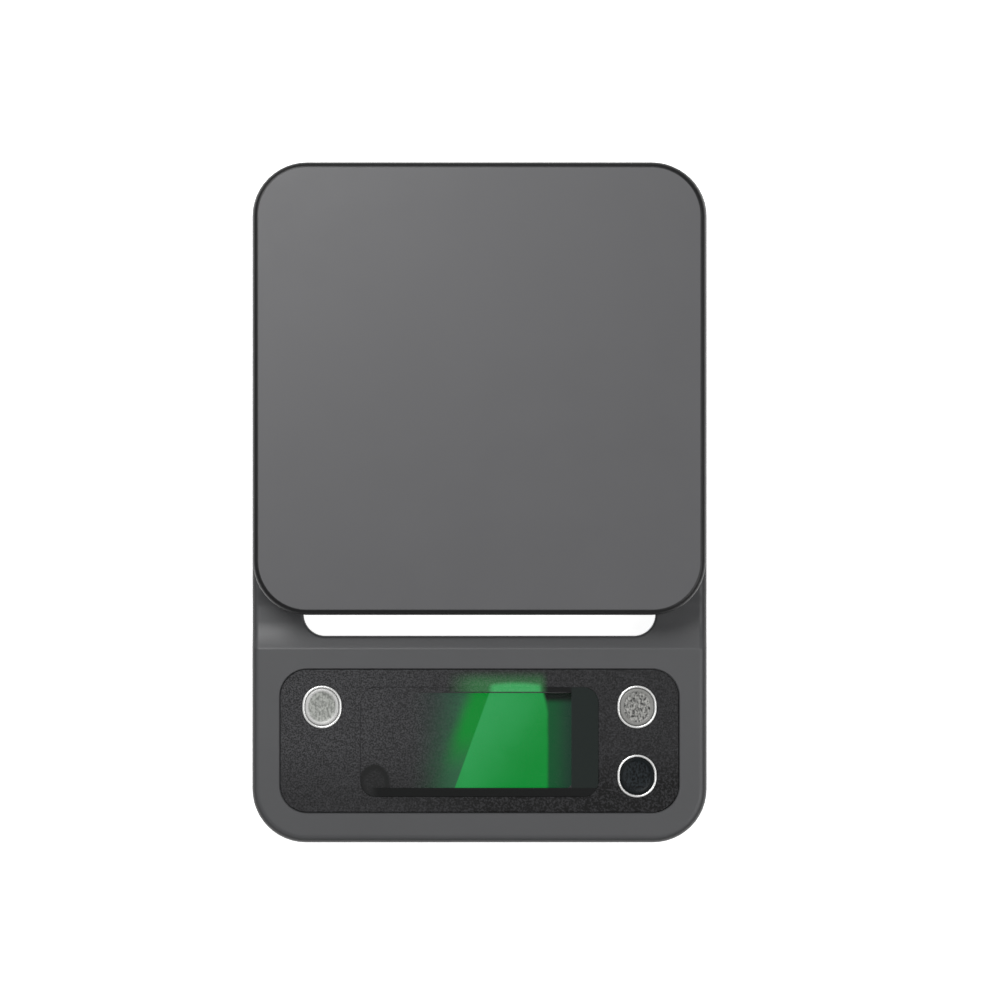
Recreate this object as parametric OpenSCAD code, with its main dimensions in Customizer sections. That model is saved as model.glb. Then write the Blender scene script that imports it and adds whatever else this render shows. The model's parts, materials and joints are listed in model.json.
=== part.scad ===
// Slim digital gram scale: base with control panel, hanging slot and sprung weighing platform.
// Frame: +Z up, lying flat, origin under the middle of the feet; -Y is the control-panel end.

/* [Body] */
// Width of the base
body_w = 127; // [124:1:134]
// Length of the base
body_l = 190; // [188:1:196]
// Plan corner radius of the base
body_r = 15; // [13.5:0.5:18]
// Height of the split line between the two shells
split_z = 9.5; // [9.5:0.1:9.8]
// Height of the rear deck, under the platform
deck_z = 14.3; // [14.2:0.1:14.6]
// Height of the deck at the hanging slot
neck_z = 13.2; // [12.8:0.1:13.6]
// Height of the head that carries the control panel
head_z = 15.2; // [15.2:0.1:15.5]
// Wall thickness of the shells
wall = 2; // [1.8:0.1:2]

/* [Lower shell] */
// How far the lip of the upper shell overhangs the lower shell
pod_inset = 2; // [2:0.1:2.6]
// Plan corner radius of the two pods underneath
pod_r = 13; // [11:0.5:14]
// Radius of the bottom edge of the pods
pod_fillet = 5; // [3:0.5:6]
// How far the feet stand out under the pods
foot_h = 1; // [1:0.1:1.2]
// Diameter of a foot
foot_d = 10.6; // [10:0.1:11]
// Height of the underside of the neck between the pods
neck_base_z = 5.2; // [4.8:0.1:5.6]

/* [Hanging slot] */
// Width of the slot, end to end
slot_w = 98.4; // [80:1:99]
// Breadth of the slot, front to back
slot_l = 12; // [10:0.5:12]
// Place of the slot's middle along Y
slot_y = -31.3; // [-31.5:0.1:-31]

/* [Platform] */
// Side of the square platform cover
platform_w = 126; // [120:1:127]
// Plan corner radius of the platform cover
platform_r = 15; // [12:0.5:18]
// Height of the weighing surface
platform_z = 28; // [28:0.1:29]
// Height of the platform cover's rim
platform_h = 7.1; // [6:0.1:7.4]
// Place of the platform's middle along Y
platform_y = 31.7; // [31:0.1:32]
// Thickness of the cover's top
platform_t = 1.8; // [1.4:0.1:2]
// Travel of the platform from rest to its overload stop
platform_travel = 0.6; // [0.4:0.1:0.6]

/* [Control panel] */
// Width of the panel plate
panel_w = 111.2; // [108:0.1:113]
// Length of the panel plate
panel_l = 39.8; // [39:0.1:40.5]
// Place of the panel's middle along Y
panel_y = -66.6; // [-67:0.1:-66]
// Thickness of the panel plate
panel_t = 1.4; // [1.2:0.1:1.4]
// Width of the display window
window_w = 66.4; // [62:0.1:68]
// Length of the display window
window_l = 30.6; // [29:0.1:31]
// Width of a panel button with its ring
button_w = 11; // [10.4:0.1:11.4]
// Length of a panel button with its ring
button_l = 12; // [11.4:0.1:12.4]
// Width of the bright ring round a button
ring_t = 0.7; // [0.5:0.1:0.8]
// Travel of a panel button
button_travel = 0.5; // [0.3:0.05:0.5]

/* [Load cell] */
// Length of the load cell beam
cell_l = 68; // [66:1:70]
// Width of the load cell beam
cell_w = 12.7; // [12:0.1:13]
// Height of the load cell beam
cell_h = 8; // [7.6:0.1:8]
// Diameter of the load cell screws
cell_screw_d = 3; // [2.5:0.5:3]

/* [Battery bay] */
// Diameter of one battery
battery_d = 10.5; // [10:0.1:10.5]
// Length of one battery, with its cap
battery_l = 44.5; // [43.5:0.1:44.5]
// Right-hand edge of the battery door's ears
door_right = 10.5; // [10:0.1:11]
// Width of the battery door between its ears
door_w = 49.6; // [49.2:0.1:50]

/* [Hidden] */

$fn = 48;
sliver = 0.01;                        // thickness of the slices that a rounded slab is hulled from
slab_step = 15;                       // angle between those slices, round an edge
lip_step = 18;                        // the same angle round the lip of the upper shell
cut = 1;                              // how far a cutting tool runs past what it cuts
fit = 0.05;                           // gap between faces that are next to each other in one body

// Colours
shell_grey = [0.27, 0.27, 0.28];
platform_grey = [0.36, 0.36, 0.37];
panel_black = [0.14, 0.14, 0.15];
foot_black = [0.2, 0.2, 0.21];
bare_aluminium = [0.75, 0.76, 0.78];
bare_steel = [0.62, 0.63, 0.65];
nickel = [0.78, 0.76, 0.7];
board_green = [0.1, 0.35, 0.2];
part_black = [0.08, 0.08, 0.08];
lamp_green = [0.15, 0.6, 0.28];
silicone_white = [0.9, 0.9, 0.87];

// Lower shell, worked out from the body
pod_w = body_w - 2 * pod_inset;
pod_back = body_l / 2 - pod_inset;
pod_split_back = slot_y + slot_l / 2;
pod_split_front = slot_y - slot_l / 2;
rear_pod_l = pod_back - pod_split_back;
rear_pod_y = (pod_back + pod_split_back) / 2;
front_pod_l = pod_back + pod_split_front;
front_pod_y = (pod_split_front - pod_back) / 2;
floor_z = foot_h + wall;
shell_top = split_z - fit;
rim_top = neck_z - wall - 0.3;        // top of the lower shell's rim, inside the upper shell
ring_wall = 1.8;                      // wall round the slot
neck_reach = 14;                      // how far the neck runs into each pod
lip_r = 2.2;                          // radius of the rounded lip
crease_y = -42.7;                     // edge of the flat head
dip_start_y = -24;                    // where the rear deck starts to dip
dip_end_y = slot_y + 2;
rise_start_y = slot_y - 2;            // where the deck starts to rise to the head
rise_power = 1.7;                     // how late that rise steepens

// Feet and the screws that hide under them
foot_x = 48.8;
foot_rear_y = 80.05;
foot_front_y = -81.2;
foot_recess = 1;
foot_top = foot_h + foot_recess;
screw_shift = [1.8, -2.4];            // the front screws sit off the middle of their feet, clear of a button
screw_head_d = 4.4;
screw_head_h = 1.8;
screw_d = 2.5;
screw_top = 11.6;
boss_d = 6.5;
boss_z = 6.6;                         // where the bosses of the two shells meet
FEET = [[-foot_x, foot_front_y], [foot_x, foot_front_y], [-foot_x, foot_rear_y], [foot_x, foot_rear_y]];
SHELL_SCREWS = [
    [-foot_x - screw_shift[0], foot_front_y + screw_shift[1]],
    [foot_x + screw_shift[0], foot_front_y + screw_shift[1]],
    [-foot_x, foot_rear_y],
    [foot_x, foot_rear_y]
];

// Plateau on the rear deck
plateau_z = 19;
plateau_wall = 1.8;
plateau_w = 96;
plateau_front = -20;
plateau_back = 73.2;
plateau_front_r = 15;
plateau_back_r = 6;
bump_back = 82.1;                     // rear face of the hump over the batteries
bump_z = 18.8;
bump_r = 5;
bump_wall = 0.75;

// Load cell
cell_y = platform_y;
cell_z = 4.6;
cell_top = cell_z + cell_h;
cell_front = cell_y - cell_l / 2;
cell_back = cell_y + cell_l / 2;
clamp_l = 14;                         // length of the beam held by each spacer
screw_inset = [3.2, 9.6];             // distance of the two screws from the end of the beam
spacer_h = 1.2;
beam_hole_d = 5.6;
beam_hole_pitch = 12;
beam_slot_h = 2.4;
gauge_w = 15;                         // length of the silicone over the strain gauges
recess_w = 17;                        // recess round the load cell screws, underneath
recess_front = -1.9;
recess_back = 10.1;
recess_d = 0.4;
potting_front = 20.2;                 // where the sensor lead leaves the silicone
cone_h = 1.5;
cone_d = 5.4;

// Platform bracket
bracket_z = plateau_z + platform_travel + 0.15;
bracket_t = 1.8;
bracket_top = bracket_z + bracket_t;
bracket_w = 90;
bracket_front = 13.5;
bracket_back = 65.6;
bracket_rib = 1.5;
bracket_rib_x = 22;
boss_w = 15;
cover_under = platform_z - platform_t;
cover_low = platform_z - platform_h;
pad_h = 0.5;
rib_top = cover_under - pad_h;
clip_w = 6;
clip_t = 1.2;
clip_catch = 0.8;                     // depth of the clip windows in the bracket
clip_reach = clip_catch - 0.1;
CLIP_Y = [20, 34.5, 50];

// Battery bay, batteries lie along X, one behind and above the other
door_left = door_right - door_w;
door_mid = (door_left + door_right) / 2;
bay_w = 48.4;
bay_left = door_mid - bay_w / 2;
bay_right = door_mid + bay_w / 2;
bump_w = bay_w + 6;
bump_front = 60;
bay_front = 70.3;
bay_back = 91;
bay_wall = 1.4;
bay_wall_top = 11.3;
rear_battery = [86.05, 7.6];
front_battery = [76, 12.05];
plate_t = 0.4;
spring_l = bay_w - 2 * plate_t - battery_l;
cap_d = 3.8;
cap_h = 0.9;

// Battery door, hinged on two pins
hinge_y = 77.4;
hinge_z = 2.2;
pin_d = 1.4;
pin_l = 2.7;
door_t = 1.1;
door_front = 76.1;
door_top = 9.3;
door_gap = 0.3;
ear_back = 78.7;
head_front = 88.6;
waist = 1.4;                          // how far the door's waist is set in from its ears
opening_side = 1.5;                   // gap beside the ears and the head of the door
opening_front = door_front - 0.6;
opening_waist_front = 79.4;
opening_head_front = 88.3;
bearing_l = 2;

// Control panel and what is behind it, from the top down
panel_z = head_z - panel_t;
panel_r = 7.5;
panel_gap = 0.2;
shelf_z = panel_z - 1.6;              // underside of the shelf that the panel sits on
window_t = 1.2;
window_y = -66.9;
window_r = 4.2;
aperture_w = 51.6;
aperture_l = 26.3;
aperture_y = -66.65;
BUTTONS = [[-44, -57.1], [44, -57.1], [44, -76.4]];
cap_gap = 0.1;
button_top = head_z + 0.5;
ring_top = head_z + 0.3;
flange_over = 1;                      // how far a button's flange reaches past its cap, each side
flange_t = 0.4;
flange_top = shelf_z - fit;
board_z = 5.8;
board_t = 1.6;
board_top = board_z + board_t;
board_w = 104;
board_front = -86.5;
board_back = -46.5;
BOARD_SCREWS = [[-37, -50], [37, -50], [-38, -83.5], [38, -83.5]];
board_boss_d = 5.4;
board_screw_d = 2;
lcd_w = 55;
lcd_l = 29.4;
lcd_t = 1.4;
gasket_t = 0.6;
lcd_top = shelf_z - gasket_t;
lcd_z = lcd_top - lcd_t;
frame_w = 60;
frame_l = 33;
backlight_w = 53;
backlight_l = 25.9;
zebra_t = 1.4;
switch_w = 4.5;
switch_top = 10.7;
plunger_d = 3;
plunger_bore = plunger_d + 0.1;
plunger_l = 2.15;
plunger_room = 0.1;                   // left below a plunger at the end of its travel
plunger_top = flange_top - flange_t;
bore_depth = plunger_l - (plunger_top - switch_top) + button_travel + plunger_room;
unit_pos = [30, -75.9];
unit_travel = 0.4;
unit_hole_d = 3;
unit_cap_d = 2.8;
unit_switch_h = 1.6;
unit_switch_z = board_z - unit_switch_h;
unit_flange_t = 0.45;
unit_plunger_top = unit_switch_z + 0.6;
unit_bore_top = unit_plunger_top + unit_travel + 0.2;

// Leads inside the body, from the sensor and the batteries to the board
SENSOR_ROUTE = [
    [7.5, 19.9, 9], [7.9, 16, 8.2], [11, 10, 6], [18, 2, 4.8], [28, -6, 4.6], [38, -12, 4.8],
    [47, -17, 6], [53, -21, 8], [55.2, -26, 8.9], [55.2, -36, 8.9], [54.6, -40, 9],
    [52, -43, 9.4], [49.2, -44.1, 9.6], [47.5, -44.7, 9.6], [47, -45.6, 9.6], [47, -46.8, 9.6]
];
MINUS_ROUTE = [
    [-41.1, 85.5, 10.6], [-42.8, 83, 9.4], [-43, 74, 7.5], [-45.5, 66, 5], [-49.5, 50, 4.3],
    [-50.5, 20, 4.3], [-50.8, -8, 4.6], [-53, -18, 7.2], [-54.6, -26, 8.8], [-54.6, -36, 8.8],
    [-53.4, -42, 9], [-50.8, -44.6, 9.4], [-48.6, -45.5, 9.6], [-48.2, -46.8, 9.6]
];
PLUS_ROUTE = [
    [-41.1, 74.8, 10.6], [-41.6, 71, 8.4], [-43.8, 64, 5], [-47.8, 50, 4.3], [-48.8, 20, 4.3],
    [-49.1, -8, 4.6], [-51.2, -18, 7.2], [-52.8, -26, 8.8], [-52.8, -36, 8.8],
    [-51.6, -41.4, 9], [-48.4, -43.8, 9.4], [-46.2, -45.2, 9.6], [-45.8, -46.8, 9.6]
];
sensor_lead_d = 2;
battery_lead_d = 1.2;

// ---- Shapes that the sub-parts share ----

function arc(x, y, r, a0, n = 8) =
    [for (i = [0:n]) [x + r * cos(a0 + 90 * i / n), y + r * sin(a0 + 90 * i / n)]];

function rounded(w, l, r_back, r_front) = concat(
    arc(w / 2 - r_back, l / 2 - r_back, r_back, 0),
    arc(r_back - w / 2, l / 2 - r_back, r_back, 90),
    arc(r_front - w / 2, r_front - l / 2, r_front, 180),
    arc(w / 2 - r_front, r_front - l / 2, r_front, 270)
);

// A flat plate with round plan corners, from z0 to z1
module plate(w, l, r, z0, z1, y = 0, x = 0, r_front = undef) {
    front = is_undef(r_front) ? r : r_front;
    translate([x, y, z0])
        linear_extrude(z1 - z0)
            polygon(rounded(w, l, r, front));
}

// The same plate with its bottom edge rounded by low, and its top edge by high where it has one
module soft_slab(w, l, r, z0, z1, low = 0, high = 0, y = 0, x = 0, step = slab_step) {
    hull() {
        for (a = low > 0 ? [0:step:90] : [90]) {
            inset = low * (1 - sin(a));
            z = z0 + low * (1 - cos(a));
            plate(w - 2 * inset, l - 2 * inset, r - inset, z, z + sliver, y, x);
        }
        for (a = high > 0 ? [0:step:90] : []) {
            inset = high * (1 - sin(a));
            z = z1 - high * (1 - cos(a));
            plate(w - 2 * inset, l - 2 * inset, r - inset, z - sliver, z, y, x);
        }
    }
    if (high == 0)
        plate(w, l, r, z0 + low, z1, y, x);
}

module frame(w, l, r, t, z0, z1, y = 0, x = 0) {
    difference() {
        plate(w, l, r, z0, z1, y, x);
        plate(w - 2 * t, l - 2 * t, max(r - t, 0.3), z0 - cut, z1 + cut, y, x);
    }
}

module box(x0, x1, y0, y1, z0, z1) {
    translate([x0, y0, z0])
        cube([x1 - x0, y1 - y0, z1 - z0]);
}

module rod(x, y, z0, z1, d) {
    translate([x, y, z0])
        cylinder(h = z1 - z0, d = d);
}

// A rod along X
module cross_rod(x0, x1, y, z, d) {
    translate([x0, y, z])
        rotate([0, 90, 0])
            cylinder(h = x1 - x0, d = d);
}

// A tube swept along a route, as one closed skin of rings
function unit(v) = v / norm(v);
function heading(p, i) = unit(p[min(i + 1, len(p) - 1)] - p[max(i - 1, 0)]);
function side_of(h) = unit(cross(h, abs(h[2]) < 0.8 ? [0, 0, 1] : [1, 0, 0]));
function ring_points(c, h, d, n) =
    let (u = side_of(h), v = cross(h, u))
    [for (k = [0:n - 1]) c + d / 2 * (u * cos(360 * k / n) + v * sin(360 * k / n))];

function between(p, i, t) =
    let (a = p[max(i - 1, 0)], b = p[i], c = p[i + 1], d = p[min(i + 2, len(p) - 1)])
    b + 0.5 * t * (c - a + t * (2 * a - 5 * b + 4 * c - d + t * (3 * (b - c) + d - a)));
function smooth(p, steps) = concat(
    [for (i = [0:len(p) - 2]) for (s = [0:steps - 1]) between(p, i, s / steps)],
    [p[len(p) - 1]]
);

module tube(route, d, steps = 3, n = 8) {
    p = smooth(route, steps);
    last = len(p) - 1;
    points = [for (i = [0:last]) for (q = ring_points(p[i], heading(p, i), d, n)) q];
    skin = [for (i = [0:last - 1]) for (k = [0:n - 1])
        [i * n + k, i * n + (k + 1) % n, (i + 1) * n + (k + 1) % n, (i + 1) * n + k]];
    ends = [[for (k = [n - 1:-1:0]) k], [for (k = [0:n - 1]) last * n + k]];
    polyhedron(points, concat(skin, ends));
}

// ---- Shells ----

// The deck's dip at the slot, as points (y, z): down from the rear deck, then up to the crease
function deck_dip(drop) = concat(
    [for (t = [0:0.2:1])
        [dip_start_y + (dip_end_y - dip_start_y) * t,
            deck_z - drop + (neck_z - deck_z) * (1 - cos(180 * t)) / 2]],
    [for (t = [0:0.2:1])
        [rise_start_y + (crease_y - rise_start_y) * t,
            neck_z - drop + (head_z - neck_z) * pow(t, rise_power)]]
);

module along_x(w) {
    translate([-w / 2, 0, 0])
        rotate([90, 0, 90])
            linear_extrude(w)
                children();
}

module under_deck(w, drop) {
    along_x(w)
        polygon(concat([[body_l, deck_z - drop]], deck_dip(drop),
            [[-body_l, head_z - drop], [-body_l, 0], [body_l, 0]]));
}

module slot_column(grow, z0, z1) {
    plate(slot_w + 2 * grow, slot_l + 2 * grow, slot_l / 2 + grow - sliver, z0, z1, slot_y);
}

module pods(inset, z0, z1, fillet) {
    r = pod_r - inset;
    soft_slab(pod_w - 2 * inset, rear_pod_l - 2 * inset, r, z0, z1, low = fillet, y = rear_pod_y);
    soft_slab(pod_w - 2 * inset, front_pod_l - 2 * inset, r, z0, z1, low = fillet, y = front_pod_y);
}

module neck_block(inset, z0, z1) {
    box(inset - pod_w / 2, pod_w / 2 - inset, pod_split_front - neck_reach, pod_split_back + neck_reach, z0, z1);
}

module door_opening() {
    outer = door_w / 2 + opening_side;
    inner = door_w / 2 - waist + door_gap;
    side = [
        [outer, opening_front], [outer, opening_waist_front - 0.4], [inner, opening_waist_front + 0.6],
        [inner, opening_head_front - 0.9], [outer - 0.9, opening_head_front], [outer - 0.9, body_l / 2]
    ];
    translate([door_mid, 0, foot_h - cut])
        linear_extrude(wall + cut + fit)
            polygon(concat(side, [for (i = [len(side) - 1:-1:0]) [-side[i][0], side[i][1]]]));
    box(door_left - door_gap, door_right + door_gap, pod_back - pod_fillet, body_l / 2, foot_h, door_top + 0.1);
    for (x = [door_left - opening_side, door_right - waist - 0.1])
        box(x, x + opening_side + waist + 0.1, opening_front, ear_back + 0.3, foot_h - cut, hinge_z + 1.9);
}

module battery_bay() {
    for (x = [bay_left - bay_wall, bay_right])
        box(x, x + bay_wall, bay_front - bay_wall, pod_back - pod_fillet, floor_z - fit, bay_wall_top);
    box(bay_left, bay_right, bay_front - bay_wall, bay_front, floor_z - fit, bay_wall_top);
    for (x = [door_mid - 12, door_mid + 12])
        difference() {
            box(x, x + bay_wall, bay_front - fit, opening_front - 0.2, floor_z - fit, bay_wall_top - 2);
            cross_rod(x - cut, x + bay_wall + cut, front_battery[0], front_battery[1], battery_d + 0.3);
        }
    for (x = [door_left - opening_side - bearing_l, door_right + opening_side])
        box(x, x + bearing_l, opening_front, ear_back + 0.4, foot_h, hinge_z + 2);
}

module lower_shell() {
    color(shell_grey)
        difference() {
            union() {
                difference() {
                    union() {
                        pods(0, foot_h, shell_top, pod_fillet);
                        neck_block(0, neck_base_z, shell_top);
                    }
                    difference() {
                        union() {
                            pods(wall, floor_z, body_l, pod_fillet - wall);
                            neck_block(wall, neck_base_z + wall, body_l);
                        }
                        slot_column(ring_wall, 0, body_l);
                    }
                }
                frame(pod_w, 2 * pod_back, pod_r, wall, shell_top - cut, rim_top);
                for (p = SHELL_SCREWS)
                    rod(p[0], p[1], floor_z - fit, boss_z - fit, boss_d);
                for (p = FEET)
                    rod(p[0], p[1], foot_top, floor_z + 0.8, foot_d + 2.5);
                for (p = BOARD_SCREWS)
                    rod(p[0], p[1], floor_z - fit, board_z, board_boss_d);
                battery_bay();
            }
            slot_column(0, 0, body_l);
            for (p = FEET)
                rod(p[0], p[1], 0, foot_top, foot_d + 0.6);
            for (p = SHELL_SCREWS) {
                rod(p[0], p[1], 0, foot_top + screw_head_h + fit, screw_head_d + 0.3);
                rod(p[0], p[1], 0, boss_z + cut, screw_d + 0.4);
            }
            for (p = BOARD_SCREWS)
                rod(p[0], p[1], floor_z - 0.6, board_z + cut, board_screw_d + 0.02);
            rod(unit_pos[0], unit_pos[1], 0, floor_z + cut, unit_hole_d);
            door_opening();
            for (x = [door_left - opening_side - pin_l, door_right + opening_side - cut])
                cross_rod(x, x + pin_l + cut, hinge_y, hinge_z, pin_d + 0.06);
            box(-recess_w / 2, recess_w / 2, recess_front, recess_back, 0, foot_h + recess_d);
            for (s = screw_inset)
                translate([0, cell_front + s, foot_h + recess_d])
                    cylinder(h = cone_h + fit, d1 = cone_d + 0.1, d2 = cell_screw_d + 0.1);
            for (s = screw_inset)
                rod(0, cell_front + s, 0, floor_z + cut, cell_screw_d + 0.1);
            box(-pod_w / 2 + pod_r, pod_w / 2 - pod_r, -15.2, -14.8, 0, foot_h + 0.3);
        }
}

module upper_solid() {
    intersection() {
        soft_slab(body_w, body_l, body_r, split_z, deck_z, lip_r, lip_r, step = lip_step);
        box(-body_w, body_w, dip_start_y, body_l, 0, body_l);
    }
    difference() {
        soft_slab(body_w, body_l, body_r, split_z, head_z, lip_r, lip_r, step = lip_step);
        box(-body_w, body_w, dip_start_y, body_l, 0, body_l);
        along_x(body_w + 2)
            polygon(concat(deck_dip(0), [[crease_y, body_l], [body_l, body_l], [body_l, deck_z]]));
    }
    for (e = [0, 0.5])
        plate(plateau_w - 2 * e, plateau_back - plateau_front - 2 * e, plateau_back_r - e, deck_z - cut,
            plateau_z - 0.5 + e, (plateau_back + plateau_front) / 2, r_front = plateau_front_r - e);
    plate(bump_w, bump_back - bump_front, bump_r, deck_z - cut, bump_z, (bump_back + bump_front) / 2, door_mid);
    slot_column(ring_wall, split_z, neck_z - wall + fit);
}

module upper_cavity() {
    difference() {
        intersection() {
            under_deck(body_w, wall);
            plate(pod_w + 0.2, body_l - 3.8, pod_r + 0.1, 0, body_l);
        }
        slot_column(ring_wall, 0, body_l);
        plate(panel_w + 4, panel_l + 4, panel_r + 2, shelf_z, body_l, panel_y);
    }
    inner_back = plateau_back - plateau_wall;
    inner_front = plateau_front + plateau_wall;
    plate(plateau_w - 2 * plateau_wall, inner_back - inner_front, plateau_back_r - plateau_wall,
        split_z - cut, plateau_z - plateau_wall, (inner_back + inner_front) / 2,
        r_front = plateau_front_r - plateau_wall);
    plate(bump_w - 2 * bump_wall, bump_back - bump_wall - bump_front - 1, bump_r - bump_wall,
        split_z - cut, bump_z - 1.4, (bump_back - bump_wall + bump_front + 1) / 2, door_mid);
    box(bay_left, bay_right, bump_back - 3, bay_back + 0.4, split_z - cut, rear_battery[1] + battery_d / 2 + 0.2);
}

module upper_shell() {
    color(shell_grey)
        difference() {
            union() {
                difference() {
                    upper_solid();
                    upper_cavity();
                }
                for (p = SHELL_SCREWS)
                    rod(p[0], p[1], boss_z, deck_z - wall + fit, boss_d);
            }
            slot_column(0, 0, body_l);
            for (p = SHELL_SCREWS)
                rod(p[0], p[1], boss_z - cut, screw_top + 0.3, screw_d + 0.02);
            plate(panel_w + 2 * panel_gap, panel_l + 2 * panel_gap, panel_r + panel_gap,
                panel_z, head_z + cut, panel_y);
            plate(aperture_w, aperture_l, 1.5, shelf_z - cut, head_z, aperture_y);
            for (p = BUTTONS)
                plate(button_w - 2 * ring_t + 0.2, button_l - 2 * ring_t + 0.2, button_w / 2 - ring_t + 0.09,
                    shelf_z - cut, head_z, p[1], p[0]);
            plate(boss_w + 5, clamp_l + 4, 2, split_z, plateau_z + cut, cell_back - clamp_l / 2);
        }
}

// ---- Feet and shell screws ----

module foot(p) {
    color(foot_black)
        translate([p[0], p[1], 0])
            rotate_extrude()
                polygon([[0, 0], [foot_d / 2 - 0.4, 0], [foot_d / 2, 0.4], [foot_d / 2, foot_top - fit],
                    [0, foot_top - fit]]);
}

module shell_screws() {
    color(bare_steel)
        for (p = SHELL_SCREWS)
            difference() {
                union() {
                    rod(p[0], p[1], foot_top, foot_top + screw_head_h, screw_head_d);
                    rod(p[0], p[1], foot_top + screw_head_h - fit, screw_top, screw_d);
                }
                for (a = [0, 90])
                    translate([p[0], p[1], foot_top])
                        rotate(a)
                            cube([2.6, 0.5, 1.6], center = true);
            }
}

// ---- Battery bay ----

module battery_door() {
    half = door_w / 2;
    bend = [pod_back - pod_fillet, foot_h + pod_fillet];
    inner_r = pod_fillet - door_t;
    side = [
        [half, door_front], [half, ear_back], [half - waist, ear_back + waist],
        [half - waist, head_front - waist / 2], [half - 0.2, head_front + 0.3], [half - 0.2, body_l / 2]
    ];
    color(shell_grey)
        union() {
            intersection() {
                along_x(body_w)
                    polygon(concat([[door_front, foot_h]], arc(bend[0], bend[1], pod_fillet, 270),
                        [[pod_back, door_top], [pod_back - door_t, door_top]],
                        [for (i = [8:-1:0]) arc(bend[0], bend[1], inner_r, 270)[i]],
                        [[door_front, foot_h + door_t]]));
                translate([door_mid, 0, 0])
                    linear_extrude(split_z)
                        polygon(concat(side, [for (i = [len(side) - 1:-1:0]) [-side[i][0], side[i][1]]]));
            }
            for (x = [door_left, door_right - waist])
                box(x, x + waist, door_front, ear_back, foot_h, hinge_z + 0.9);
            cross_rod(door_left - pin_l, door_left + fit, hinge_y, hinge_z, pin_d);
            cross_rod(door_right - fit, door_right + pin_l, hinge_y, hinge_z, pin_d);
        }
}

// One battery along X, its cap towards side (1 or -1); the other end leaves room for a spring
module battery(at, side) {
    flat_end = side > 0 ? bay_left + plate_t + spring_l : bay_right - plate_t - spring_l;
    color(bare_steel)
        translate([flat_end, at[0], at[1]])
            rotate([0, 90 * side, 0])
                rotate_extrude()
                    polygon([[0, 0], [battery_d / 2 - 0.5, 0], [battery_d / 2, 0.5],
                        [battery_d / 2, battery_l - cap_h - 0.5], [battery_d / 2 - 0.5, battery_l - cap_h],
                        [cap_d / 2, battery_l - cap_h], [cap_d / 2, battery_l], [0, battery_l]]);
}

module contact_blade(x, at, size) {
    box(x, x + plate_t, at[0] - size / 2, at[0] + size / 2, at[1] - size / 2, at[1] + size / 2);
}

module contact_bridge() {
    x = bay_right - plate_t;
    color(nickel)
        union() {
            contact_blade(x, rear_battery, 7.6);
            contact_blade(x, front_battery, 7.6);
            box(x, x + plate_t, front_battery[0], rear_battery[0], 8.6, 11);
        }
}

// A blade on the left wall with a solder tab that crosses the top of the wall
module contact_terminal(at, tab_y) {
    color(nickel)
        union() {
            contact_blade(bay_left, at, 7.6);
            box(bay_left, bay_left + plate_t, tab_y - 1.5, tab_y + 1.5, at[1], bay_wall_top + 0.5);
            box(bay_left - bay_wall - 0.5, bay_left + plate_t, tab_y - 1.5, tab_y + 1.5,
                bay_wall_top + 0.1, bay_wall_top + 0.5);
            box(bay_left - bay_wall - 0.5, bay_left - bay_wall - 0.1, tab_y - 1.5, tab_y + 1.5,
                bay_wall_top - 2, bay_wall_top + 0.5);
        }
}

module contact_springs() {
    wire = 0.5;
    color(nickel)
        for (s = [[bay_left + plate_t, rear_battery, 1], [bay_right - plate_t, front_battery, -1]])
            translate([s[0], s[1][0], s[1][1]])
                rotate([0, 90 * s[2], 0])
                    difference() {
                        cylinder(h = spring_l, r1 = 3.4, r2 = 2.2);
                        translate([0, 0, -sliver])
                            cylinder(h = spring_l + 2 * sliver, r1 = 3.4 - wire, r2 = 2.2 - wire);
                    }
}

// ---- Load cell and platform ----

module load_cell() {
    color(bare_aluminium)
        difference() {
            box(-cell_w / 2, cell_w / 2, cell_front, cell_back, cell_z, cell_top);
            for (side = [-1, 1])
                cross_rod(-cell_w, cell_w, cell_y + side * beam_hole_pitch / 2, cell_z + cell_h / 2, beam_hole_d);
            box(-cell_w, cell_w, cell_y - beam_hole_pitch / 2, cell_y + beam_hole_pitch / 2,
                cell_z + (cell_h - beam_slot_h) / 2, cell_z + (cell_h + beam_slot_h) / 2);
            for (s = screw_inset) {
                rod(0, cell_front + s, cell_z - cut, cell_top + cut, cell_screw_d);
                rod(0, cell_back - s, cell_z - cut, cell_top + cut, cell_screw_d);
            }
        }
}

module load_cell_potting() {
    color(silicone_white)
        union() {
            box(-cell_w / 2 + 0.6, cell_w / 2 - 0.6, cell_y - gauge_w / 2, cell_y + gauge_w / 2,
                cell_top, cell_top + 1);
            box(-cell_w / 2 + 0.6, cell_w / 2 - 0.6, cell_y - gauge_w / 2, cell_y + gauge_w / 2,
                cell_z - 0.7, cell_z);
            box(cell_w / 2, cell_w / 2 + 2, potting_front, potting_front + 4.9, cell_z + 2, cell_top);
        }
}

module clamp_spacer(y0, z0, z1, screws) {
    color(bare_steel)
        difference() {
            box(-cell_w / 2, cell_w / 2, y0, y0 + clamp_l, z0, z1);
            for (y = screws)
                rod(0, y, z0 - cut, z1 + cut, cell_screw_d + 0.1);
        }
}

module load_cell_base_screws() {
    color(bare_steel)
        for (s = screw_inset)
            translate([0, cell_front + s, foot_h + recess_d])
                difference() {
                    union() {
                        cylinder(h = cone_h, d1 = cone_d, d2 = cell_screw_d);
                        cylinder(h = 9, d = cell_screw_d);
                    }
                    for (a = [0, 90])
                        rotate(a)
                            cube([2.8, 0.6, 1.4], center = true);
                }
}

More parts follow.
